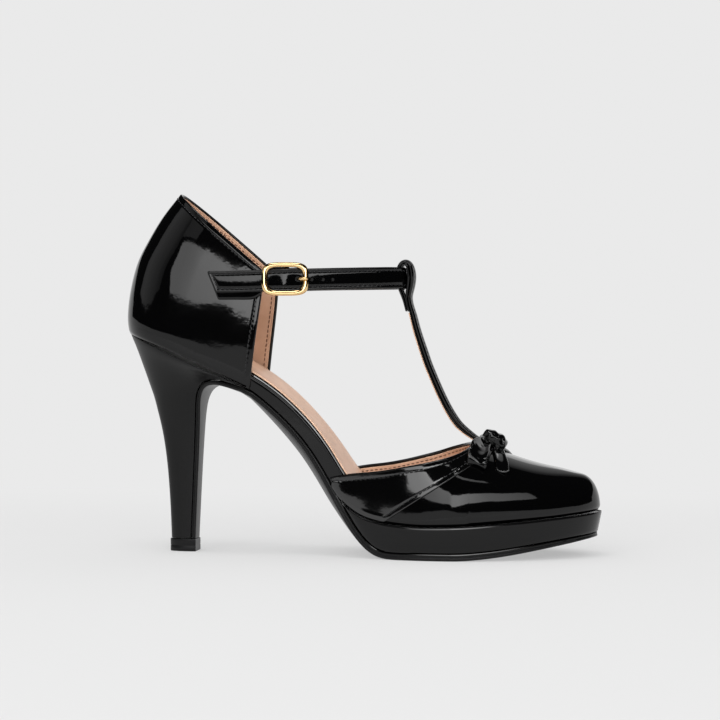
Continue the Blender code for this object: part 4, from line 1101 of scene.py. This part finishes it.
turnRadius = buckle["barRadius"] + gap + tab["thick"] / 2
places = []
for x in np.linspace(tab["back"], tab["quarterEnd"], 8):
    places.append((x, -quarterSide(x) - tab["gap"] - tab["thick"] / 2))
places.append((tab["bends"][0], barBack[1] - turnRadius + gap))
places.append((tab["bends"][1], barBack[1] - turnRadius))
for turn in np.linspace(-math.pi / 2, math.pi / 2, 9):
    places.append((barBack[0] + turnRadius * math.cos(turn), barBack[1] + turnRadius * math.sin(turn)))
places.append((barBack[0] - tab["return"], barBack[1] + turnRadius))
tabLine = throughPoints(places, 110)
# the holder itself is real; its sewn end is lowered under the tail only so that a black layer stands where
# the quarter shows the tail's dark reflection and shadow, painted reflection and shadow
lower = 1 / (1 + np.exp((tabLine[:, 0] - tab["dropFrom"]) / tab["dropLength"]))
lower[tab["levelFrom"]:] = 0              # only its sewn end drops below the tail, filling the tail's dark reflection: painted reflection
tabCentres = np.column_stack([tabLine, buckle["z"] - tab["drop"] - tab["reflectionDrop"] * lower])
wide = 1 / (1 + np.exp((tab["wideFrom"] - tabCentres[:, 0]) / tab["wideLength"]))
tabHalves = tab["half"] - tab["edge"] + tab["widening"] * wide
tabGrid = stripGrid(tabCentres, (0, tab["lean"], 1), tabHalves, np.linspace(-1, 1, 15))
fromBack = np.linalg.norm(tabCentres - tabCentres[0], axis=1)
pull = np.maximum(0, 1 - fromBack / tab["slantLength"])[:, None] * tab["backSlant"]
tabGrid[:, :, 0] -= pull * (tabGrid[:, :, 2] - tabCentres[0, 2])
half = tab["thick"] / 2
addSheet("buckle_holder", tabGrid, half, -half, patent, ("buckle_tab",), steps=5)
print("buckle made")

# bow on the throat: knot, loops and tails; each place is x, reach from the middle and lift over the vamp
bow = {
    "thick": 1.0,
    "lean": -0.55,
    "tailLean": -0.25,
    "loop": [(62.6, 4.4, 1.6), (61.6, 9, 1.2), (60.2, 15, 1.0), (59, 21, 0.9), (58, 26, 0.8),
             (57.5, 29.4, 0.9), (57.3, 30.6, 1.6), (57.3, 30.5, 3.2), (57.4, 29.9, 4.5), (57.8, 28, 4.9),
             (58.6, 23, 4.1), (59.6, 16, 3.3), (60.8, 9.5, 3), (62, 4.4, 2.6)],
    "loopSteps": 150,
    "loopHalves": (1.8, 3.9),
    "widenLength": 20.0,
    "loopCurl": (1.9, 0.9, 1.1),
    "curlSteps": 22,
    "curlFade": 6.0,
    "loopFolds": (2.6, 0.6, 0.3),
    "loopWaves": (4.5, 0.16, 3.1),
    "tail": [(64.9, 4.4, 1.2), (65.5, 8, 1.0), (66.2, 13, 0.8), (67, 18, 0.8), (67.9, 23, 0.9),
             (68.6, 28.4, 1.1)],
    "tailSteps": 90,
    "tailHalves": (2.0, 2.6),
    "tailCurl": (0.7, 0.5, 0.3),
    "tailCut": 0.35,
    "cutLength": 7.0,
    "tailFolds": (2.2, 0.4, 0.25),
    "tailWaves": (4.5, 0.12, 5.2),
    "foldFade": 5.0,
    "edge": 0.5,
    "edgeSides": 10,
    "hemStart": 30,
}
knot = {
    "foot": (63.0, 52.8),
    "tilt": math.radians(31.0),
    "half": (6.2, 5.0),
    "high": 4.5,
    "core": (3.4, 3.4),
    "rim": 0.5,
    "crumple": (0.9, 0.1),
    "reach": 0.985,
    "roundness": 3.2,
    "fullness": (0.75, 0.8),
    "rings": 75,
    "turns": 84,
}


def vampHeight(x, y):
    side = "lateral" if y < centreLine(x) else "medial"
    reach = 1 - abs(y - centreLine(x)) / halfWidth(side, x)
    foot = bed(x) + gap
    return foot + (ridge(x) - foot) * dome(reach, fullness(x))


def draped(places, sign, count):
    line = []
    for x, reach, rise in places:
        y = centreLine(x) + sign * reach
        line.append((x, y, vampHeight(x, y) + rise))
    return eased(throughPoints(line, count), 2)


def curled(across, curl):
    # ribbon with turned-up edges, its middle lying lower
    back, front, dip = curl
    edges = back * np.maximum(0, -across) ** 2.2 + front * np.maximum(0, across) ** 2.2
    return edges - dip * (1 - across ** 2)


ribbonAcross = np.linspace(-1, 1, 29)


def addRibbon(part, side, grid, fromKnot):
    # pleats run out from the knot
    count, start, depth = bow[part + "Folds"]
    pleats = depth * np.cos(count * math.pi * ribbonAcross + start)
    pleats = pleats * np.exp(-fromKnot / bow["foldFade"])[:, None] + unevenness(grid, *bow[part + "Waves"])
    half = bow["thick"] / 2
    node = "bow_%s_%s" % (part, side)
    addSheet(node.replace("bow", "bow_ribbon"), grid, half + pleats, pleats - half, bowPatent,
             (node,), 0.95)


rolled = (bow["edge"], bow["edgeSides"], rolledEdge, "bow_patent")
for side, sign in signs.items():
    centres = draped(bow["loop"], sign, bow["loopSteps"])
    reach = np.abs(centres[:, 1] - centreLine(centres[:, 0]))
    near, far = bow["loopHalves"]
    halves = near + (far - near) * np.clip((reach - reach[0]) / bow["widenLength"], 0, 1) ** 1.5
    grid = stripGrid(centres, (1.0, 0.0, bow["lean"]), halves, ribbonAcross)
    onTop = np.clip((np.arange(len(reach)) - np.argmax(reach)) / bow["curlSteps"], 0, 1)
    onTop = onTop * np.clip((reach - reach[-1]) / bow["curlFade"], 0, 1)
    grid[:, :, 2] += onTop[:, None] * curled(ribbonAcross, bow["loopCurl"])
    addRibbon("loop", side, grid, reach - reach[0])
    for edge, column in (("back", 0), ("front", -1)):
        addTube("bow_loop_edge_%s_%s" % (edge, side), grid[4:-4, column], *rolled)
    centres = draped(bow["tail"], sign, bow["tailSteps"])
    grid = stripGrid(centres, (1.0, 0.0, bow["tailLean"]), np.linspace(*bow["tailHalves"], len(centres)),
                     ribbonAcross)
    grid[:, :, 2] += curled(ribbonAcross, bow["tailCurl"])
    fromEnd = np.linalg.norm(centres - centres[-1], axis=1)
    pull = np.maximum(0, 1 - fromEnd / bow["cutLength"])[:, None] * bow["tailCut"]
    grid[:, :, 1] += sign * pull * (grid[:, :, 0] - centres[-1, 0])
    fromKnot = np.linalg.norm(centres - centres[0], axis=1)
    addRibbon("tail", side, grid, fromKnot)
    hem = grid[bow["hemStart"]:]
    hem = np.concatenate([hem[:, 0], hem[-1, 1:-1], hem[::-1, -1]])
    addTube("bow_tail_edge_" + side, hem, *rolled)


def crumple(a, turn):
    # creased wrap: sharp ridges that run over the knot, finer ones between them
    broad = noise.noise(Vector((1.9 * a + 0.35 * turn, 0.7 * turn, 0.4)))
    fine = noise.noise(Vector((4.0 * a, 1.6 * turn, 3.7)))
    return knot["crumple"][0] * (0.35 - abs(broad) * 1.6) + knot["crumple"][1] * fine


rings = []
length, wide = knot["half"]
coreHalf, coreDrop = knot["core"]
rim = knot["rim"]
rightFoot = [(wide, -0.6 * rim), (wide - rim, -rim), (coreHalf, -rim), (coreHalf, -coreDrop)]
foot = rightFoot + [(-y, rise) for y, rise in rightFoot[::-1]]
for a in np.linspace(-knot["reach"], knot["reach"], knot["rings"]):
    shrink = (1 - abs(a) ** knot["roundness"]) ** (1 / knot["roundness"])
    section = []
    for turn in np.linspace(0, math.pi, knot["turns"]):
        push = crumple(a, turn) * min(1.0, 3 * math.sin(turn))
        across = -signedPower(math.cos(turn), knot["fullness"][0])
        rise = math.sin(turn) ** knot["fullness"][1]
        y = wide * across - push * math.cos(turn)
        section.append((y * shrink, (knot["high"] + push) * rise * shrink))
    section += [(y * shrink, rise) for y, rise in foot]
    ring = []
    for y, rise in section:
        x = knot["foot"][0] + a * length * math.cos(knot["tilt"]) + rise * math.sin(knot["tilt"])
        z = knot["foot"][1] - a * length * math.sin(knot["tilt"]) + rise * math.cos(knot["tilt"])
        ring.append((x, centreLine(x) + y, z))
    rings.append(ring)
addLoft("bow_knot_wrap", rings, bowPatent, ("bow_knot",))
print("bow made")

# board and sock
board = {"inset": 2.7, "sockInset": 3.5, "sockThick": 1.1, "sockGap": 0.4, "roll": 0.75, "rings": 260,
         "edge": (-46.5, 4.0)}


def slabRings(inset, profile, bottomOf, topOf):
    # profile: steps inwards from the edge and down from the top, ending at the bottom
    rings = []
    sides = [rail(side, inset, None, None, board["rings"]) for side in ("lateral", "medial")]
    steps = profile + [(profile[-1][0], math.inf)]
    for (lx, ly), (mx, my) in zip(*sides):
        ring = []
        most = 0.9 * (my - ly) / 2
        for x, y, sign in ((lx, ly, 1.0), (mx, my, -1.0)):
            top, bottom = topOf(x), bottomOf(x)
            side = [(x, y + sign * min(inward, most), max(bottom, top - down)) for inward, down in steps]
            ring += side[::-1] if sign > 0 else side
        rings.append(ring)
    return rings


def boardTop(x):
    return sockTop(x) - board["sockThick"] - board["sockGap"] / slopeNormal(sockTop, x)[1]


boardProfile = [(3.0, 0.3), (1.9, 0.25)]
for turn in np.radians(np.linspace(100, -60, 12)):
    boardProfile.append((board["roll"] * (1 - math.cos(turn)), board["roll"] * (1 - math.sin(turn))))
boardProfile += [(0.45, 1.75), (0.2, 2.1), (0.12, 2.6), (0.1, 4.0), (0.1, 5.0)]
addLoft("board_wrap", slabRings(board["inset"], boardProfile, lambda x: bed(x) + gap, boardTop), patent,
        ("insole_board",))


def addEdgeLines(name, inset, ends, level, profile, finish, leaning=False):
    # narrow shiny bevel along both edges; profile: steps inwards and down from the line
    for side, sign in signs.items():
        line = rail(side, inset, *ends, 160)
        xs = line[:, 0]
        ups = np.tile((0.0, 0.0, 1.0), (len(xs), 1))
        if leaning:
            ups[:, 0], ups[:, 2] = slopeNormal(level, xs)
        line = np.column_stack([line, level(xs)])
        rings = np.stack([line - ups * down - (0, sign * inward, 0) for inward, down in profile], axis=1)
        addLoft(name + side, rings, finish, sharp=30)


boardEdge = [(-0.06, 0.85), (0.03, 0.33), (0.45, 0.3), (0.45, 0.85)]
addEdgeLines("board_wrap_edge_", board["inset"], board["edge"], boardTop, boardEdge, polishedEdge)
sockProfile = [(5.0, 0.0), (2.4, 0.0), (1.6, 0.02), (1.1, 0.1), (0.8, 0.03), (0.45, 0.06), (0.2, 0.18),
               (0.05, 0.4), (0.0, 0.7)]
sockRings = slabRings(board["sockInset"], sockProfile, lambda x: sockTop(x) - board["sockThick"], sockTop)
addLoft("sock", sockRings, nudeLeather, ("insole",))
print("board and sock made")

# platform
platform = {"back": -5.4, "outset": 0.5, "inset": 1.2, "lift": 0.5, "topRound": 0.9, "bulge": 0.2,
            "rings": 230, "edge": (-5.0, 88.0)}
rings = []
rails = {(side, inset): rail(side, inset, platform["back"], None, platform["rings"])
         for side in signs for inset in (-platform["outset"], platform["inset"])}
for i in range(platform["rings"]):
    ring = []
    room = abs(rails["medial", platform["inset"]][i][1] - rails["lateral", platform["inset"]][i][1]) / 2
    for side in signs:
        tx, ty = rails[side, -platform["outset"]][i]
        bx, by = rails[side, platform["inset"]][i]
        top = float(bed(tx))
        bottom = float(treadTop(bx) + platform["lift"] / slopeNormal(treadTop, bx)[1])
        high = top - bottom
        inward = -signs[side] * min(1.0, room / 5)                  # the two sides stay apart at the toe
        soft = min(platform["topRound"], 0.3 * high)
        column = [(bx, by + inward * 2.0, bottom), (bx, by + inward * 0.4, bottom),
                  (bx, by + inward * 0.1, bottom + 0.03 * high)]
        for t in np.linspace(0.07, 1, 11):
            out = platform["bulge"] * math.sin(math.pi * t)
            column.append((bx + (tx - bx) * t, by + (ty - by) * t - inward * out, bottom + (high - soft) * t))
        for turn in np.radians(np.linspace(15, 90, 6)):
            column.append((tx, ty + inward * soft * (1 - math.cos(turn)), top - soft * (1 - math.sin(turn))))
        column += [(tx, ty + inward * 1.0, top - 0.05), (tx, ty + inward * 1.5, top - min(0.5, 0.3 * high)),
                   (tx, ty + inward * 4.0, top - min(0.5, 0.3 * high))]
        ring += column if side == "lateral" else column[::-1]
    rings.append(ring)
addLoft("platform_block", rings, platformCover, ("platform",), sharp=50)
platformEdge = [(-0.05, 0.82), (0.03, 0.42), (0.5, 0.4), (0.5, 0.82)]
addEdgeLines("platform_edge_", -platform["outset"], platform["edge"], bed, platformEdge, paintedEdge)

# outsole, turned down over the heel breast
sole = {
    "x": [-48, -40, -26, -10, 2, 14, 52, 70, 88, 112],
    "edge": [2.2, 2.3, 2.4, 2.7, 2.9, 3, 3, 2.9, 2.5, 1.7],
    "crown": [2.4, 3.8, 4.9, 4.5, 2.6, 0, 0, 0, 0, 0],
    "inset": 1.6,
    "waistEnd": -47.0,
    "line": (-8.0, 88.0),
    "rings": 190,
    "profile": [(0.5, 0), (0.12, 0.05), (0, 0.13), (0, 0.3), (0.2, 0.36), (0.2, 0.42), (0, 0.48), (0, 0.84),
                (0.12, 0.93), (0.4, 0.99)],
}
breast = {
    "x": [-52.6, -58, -63, -67.2, -70.6, -73.4, -75.3, -76.4, -76.9, -77.4, -78.2, -79.1, -79.7],
    "z": [78, 79.5, 80.6, 80.9, 80.2, 78.4, 75.4, 71, 65, 56, 40, 20, 6.3],
    "half": [23.4, 22.2, 20.4, 18, 15.8, 13.6, 11.6, 9.7, 7.8, 6.6, 5.7, 5.2, 5],
    "edge": [2.1, 2] + [1.9] * 11,
    "crown": [1.6, 1.2, 0.8, 0.5, 0.4, 0.4, 0.4, 0.3, 0.3, 0.3, 0.2, 0.2, 0.2],
}
soleEdge = softCurve(sole["x"], sole["edge"], 2.0)
soleCrown = softCurve(sole["x"], sole["crown"], 2.0)
shares = np.linspace(-1, 1, 27)


def soleRing(lateral, medial, normals, edges, crowns):
    # lateral edge from the top down, the underside across, and the medial edge back up
    lateral, medial = np.array(lateral), np.array(medial)
    across = unit(medial - lateral)
    ring = []
    for inward, share in sole["profile"]:
        ring.append(lateral + across * inward - normals[0] * edges[0] * share)
    for share in shares[1:-1]:
        t = (1 + share) / 2
        foot = lateral + (medial - lateral) * t
        normal = unit(normals[0] + (normals[1] - normals[0]) * t)
        edge = edges[0] + (edges[1] - edges[0]) * t
        crown = crowns[0] + (crowns[1] - crowns[0]) * t
        ring.append(foot - normal * (edge + crown * (1 - share * share)))
    for inward, share in sole["profile"][::-1]:
        ring.append(medial - across * inward - normals[1] * edges[1] * share)
    return ring


rings = []
sides = [rail(side, sole["inset"], sole["waistEnd"], None, sole["rings"])[::-1] for side in signs]
for lateral, medial in zip(*sides):
    xs = np.array([lateral[0], medial[0]])
    leans, ups = slopeNormal(treadTop, xs)
    normals = np.column_stack([leans, np.zeros(2), ups])
    tops = treadTop(xs)
    rings.append(soleRing((*lateral, tops[0]), (*medial, tops[1]), normals, soleEdge(xs), soleCrown(xs)))
breastLine = throughPoints(np.stack([breast[k] for k in ("x", "z", "half", "edge", "crown")], axis=1), 120)
breastLine = eased(breastLine, 3)
ways = unit(np.gradient(breastLine[:, :2], axis=0))
for (x, z, half, edge, crown), (ax, az) in zip(breastLine, ways):
    normal = np.array([az, 0.0, -ax])
    rings.append(soleRing((x, -half, z), (x, half, z), [normal, normal], (edge, edge), (crown, crown)))
addLoft("outsole_sheet", rings, soleRubber, ("outsole",), sharp=50)
soleLine = [(-0.06, 0.37), (0.01, 0.02), (0.5, 0.0), (0.5, 0.37)]
addEdgeLines("outsole_edge_", sole["inset"], sole["line"], treadTop, soleLine, paintedEdge,
             leaning=True)
print("platform and outsole made")

# heel and its top piece
heel = {
    "backX": [-109.3, -108.5, -107.3, -105.8, -103.7, -101.5, -99.9, -98.5, -97.2, -95.6, -93.9, -91.9, -90.6,
              -90.1],
    "backZ": [102.9, 100.9, 98.1, 94.2, 88.2, 82, 77.2, 73.2, 68, 61.6, 53.6, 38.6, 19.6, 6.3],
    "frontX": [-50.2, -53.6, -58.4, -63.2, -67.5, -71.1, -73.9, -75.7, -76.8, -77.3, -77.8, -78.6, -79.5,
               -80.1],
    "frontZ": [77.5, 78.7, 80.1, 81.2, 81.4, 80.6, 78.6, 75.6, 71.1, 65, 56, 40, 20, 6.3],
    "half": [27.2, 26.4, 24.7, 22.2, 19.2, 16.5, 14, 11.9, 10, 8.1, 6.8, 5.9, 5.4, 5.2],
    "squareness": 2.3,
    "topRound": 0.1,
}


def dSection(count):
    power = 2 / heel["squareness"]
    turns = np.linspace(-math.pi / 2, math.pi / 2, count)
    return [(math.cos(t) ** power, signedPower(math.sin(t), power)) for t in turns]


steps = np.arange(len(heel["backX"]))
heelCurves = [softCurve(steps, heel[k], 0.35) for k in ("backX", "backZ", "frontX", "frontZ", "half")]
rings = []
for place in np.concatenate([np.linspace(0, 0.35, 6), np.linspace(0.45, len(steps) - 1, 110)]):
    bx, bz, fx, fz, half = [float(curve(place)) for curve in heelCurves]
    tuck = heel["topRound"] * max(0.0, 1 - place / 0.5) ** 2
    ring = [(fx + (bx + tuck - fx) * r, (half - tuck) * w, fz + (bz - fz) * r) for r, w in dSection(72)]
    rings.append(ring)
addLoft("heel_block", rings, heelCover, ("heel",), sharp=50)
rings = []
edge, height = heelTip["edge"], heelTip["height"]
tipLevels = [(0.0, edge), (0.1, 0.2 * edge), (edge, 0.0), (2.6, 0.0), (2.75, 0.12), (2.95, 0.12), (3.1, 0.0),
             (height - edge, 0.0), (height - 0.1, 0.25 * edge), (height, edge)]
for z, inset in tipLevels:
    start = heelTip["front"] - inset
    length = start - heelTip["back"] - inset
    rings.append([(start - length * r, (heelTip["half"] - inset) * w, z) for r, w in dSection(60)])
addLoft("top_piece", rings, soleRubber, ("heel_tip",), sharp=50)
print("heel made")

addStitches("upper_stitching", upperRows, blackThread)
addStitches("strap_stitching", strapRows, blackThread)
addStitches("lining_stitching", liningRows, brownThread)
print("stitching made")

# stage: pale floor that runs on behind the shoe without a horizon
stage = {
    "wide": 3.2,
    "front": -2.2,
    "back": 1.5,
    "top": 0.66,
    "pale": 0.275,
    "glow": 0.822,
    "nearGlow": 0.53,
    "fade": (0.05, 0.45),
    "dim": 0.012,
}


def fadeBack(finish, socket, near, far):
    # value that changes from the shoe towards the back of the stage
    tree = finish.node_tree
    place = tree.nodes.new("ShaderNodeTexCoord")
    parts = tree.nodes.new("ShaderNodeSeparateXYZ")
    tree.links.new(place.outputs["Object"], parts.inputs["Vector"])
    vary(finish, socket, parts.outputs["Y"], near, far, stage["fade"], "EASE")


def grey(level):
    return (level, level, level, 1.0)


matt = {"Specular_IOR_Level": 0.0, "Emission_Strength": 1.0}
paper = newFinish("studio paper", grey(stage["pale"])[:3], 0.9, **matt)
fadeBack(paper, "Base Color", stage["pale"], 0.0)
fadeBack(paper, "Emission Color", stage["nearGlow"] * stage["glow"], stage["glow"])
farPaper = newFinish("far paper", (0.0, 0.0, 0.0), 1.0, Emission_Color=grey(stage["glow"]), **matt)
w, front, back, top = [stage[k] for k in ("wide", "front", "back", "top")]
quad = [(0, 1, 2, 3)]
floor = addShape("floor", [(-w, front, 0), (w, front, 0), (w, back, 0), (-w, back, 0)], quad, paper)
wall = addShape("wall", [(-w, back, 0), (w, back, 0), (w, back, top), (-w, back, top)], quad, farPaper)
world = bpy.data.worlds.new("studio")
scene.world = world
world.use_nodes = True
world.node_tree.nodes["Background"].inputs["Color"].default_value = grey(stage["dim"])
shoeMiddle = Vector((0.0, 0.0, 0.09))


def direction(azimuth, elevation):
    # azimuth 0 is straight in front of the shoe's lateral side, plus is towards the toe
    a, e = math.radians(azimuth), math.radians(elevation)
    return Vector((math.sin(a) * math.cos(e), -math.cos(a) * math.cos(e), math.sin(e)))


screenGlow = newFinish("screen glow", (0.0, 0.0, 0.0), 1.0, **matt)
tint = screenGlow.node_tree.nodes.new("ShaderNodeVertexColor")
tint.layer_name = "glow"
screenGlow.node_tree.links.new(tint.outputs["Color"],
                               screenGlow.node_tree.nodes["Principled BSDF"].inputs["Emission Color"])


def addScreen(name, lower, upper, levels, distance=4.0):
    # bent glowing screen: its lower and upper edge as azimuth and elevation, and how bright it is
    corners = []
    for low, high in zip(lower, upper):
        corners += [shoeMiddle + direction(*low) * distance, shoeMiddle + direction(*high) * distance]
    faces = [(2 * k, 2 * k + 2, 2 * k + 3, 2 * k + 1) for k in range(len(lower) - 1)]
    screen = addShape(name, corners, faces, screenGlow)
    glow = screen.data.color_attributes.new("glow", "FLOAT_COLOR", "POINT")
    for k, spot in enumerate(glow.data):
        spot.color = grey(levels[k // 2])
    screen.visible_camera = False
    return screen


def addCard(name, azimuth, elevation, distance, size, bright, inGloss=True):
    # soft light aimed at the shoe; bright is what it shows in a mirror
    light = bpy.data.lights.new(name, "AREA")
    light.shape = "RECTANGLE"
    light.size, light.size_y = size
    light.energy = bright * size[0] * size[1] * math.pi
    item = bpy.data.objects.new(name, light)
    item.location = shoeMiddle + direction(azimuth, elevation) * distance
    item.rotation_euler = direction(azimuth, elevation).to_track_quat("Z", "Y").to_euler()
    item.visible_camera = False
    item.visible_glossy = inGloss
    scene.collection.objects.link(item)


screens = [
    addScreen("softbox", [(-30, 15), (-22, 13.6), (-14, 12), (-7, 10.6), (0, 8.8), (8, 9.5), (18, 13),
                          (30, 16.5), (42, 20.5), (54, 25.5)],
              [(-41, 33.5), (-30, 31.5), (-16, 27), (-8, 24), (0, 22), (9, 23), (20, 26.5), (30, 29),
               (42, 32.5), (54, 36)], [2.4, 2.4, 2.8, 3.6, 4.6, 4.8, 3.8, 2.6, 2.1, 1.5]),
    addScreen("left_screen", [(-91, 15), (-80, 14), (-68, 14), (-56, 15), (-46, 17)],
              [(-91, 50), (-80, 52), (-68, 52), (-52, 50), (-46, 48)], [0.45, 0.58, 0.5, 0.36, 0.16]),
    addScreen("high_screen", [(-46, 36), (-34, 34), (-22, 31)], [(-46, 48), (-32, 44), (-18, 40)],
              [0.35, 0.4, 0.4]),
    addScreen("front_paper", [(a, -4) for a in (-120, -80, -45, -30, -15, 0, 15, 45, 60, 80, 120)],
              [(-120, 5), (-80, 5), (-45, 5), (-30, 5.5), (-15, 5.5), (0, 4.5), (15, 2.5), (45, 2.5), (60, 4),
               (80, 5), (120, 5)], [0.78] * 11),
    addScreen("back_screen", [(a, 18) for a in (144, 152, 162, 180, 195)],
              [(144, 52), (152, 55), (162, 55), (180, 50), (195, 45)], [0.05, 0.2, 0.4, 0.4, 0.2]),
    addScreen("spark", [(22, 50), (42, 50)], [(22, 53.5), (42, 53.5)], [2.2, 1.6]),
]
addCard("ceiling", 0, 90, 1.95, (10.0, 10.0), 0.95, inGloss=False)
addCard("front", -5, 24, 2.2, (2.4, 1.4), 2.2, inGloss=False)
addCard("top", -20, 78, 1.5, (0.7, 0.4), 6.0)

view = {"yaw": math.radians(7.5), "height": 90.4, "distance": 0.95, "lens": 101.15, "sensor": 36.0}
camera = bpy.data.objects.new("camera", bpy.data.cameras.new("camera"))
scene.collection.objects.link(camera)
scene.camera = camera
target = Vector((shift[0], shift[1], view["height"])) * mm
camera.location = target + Vector((math.sin(view["yaw"]), -math.cos(view["yaw"]), 0.0)) * view["distance"]
camera.rotation_euler = (math.pi / 2, 0.0, view["yaw"])
camera.data.lens = view["lens"]
camera.data.sensor_width = view["sensor"]
camera.data.clip_start = 0.01
scene.view_settings.view_transform = "Standard"
print("stage, light and camera set")
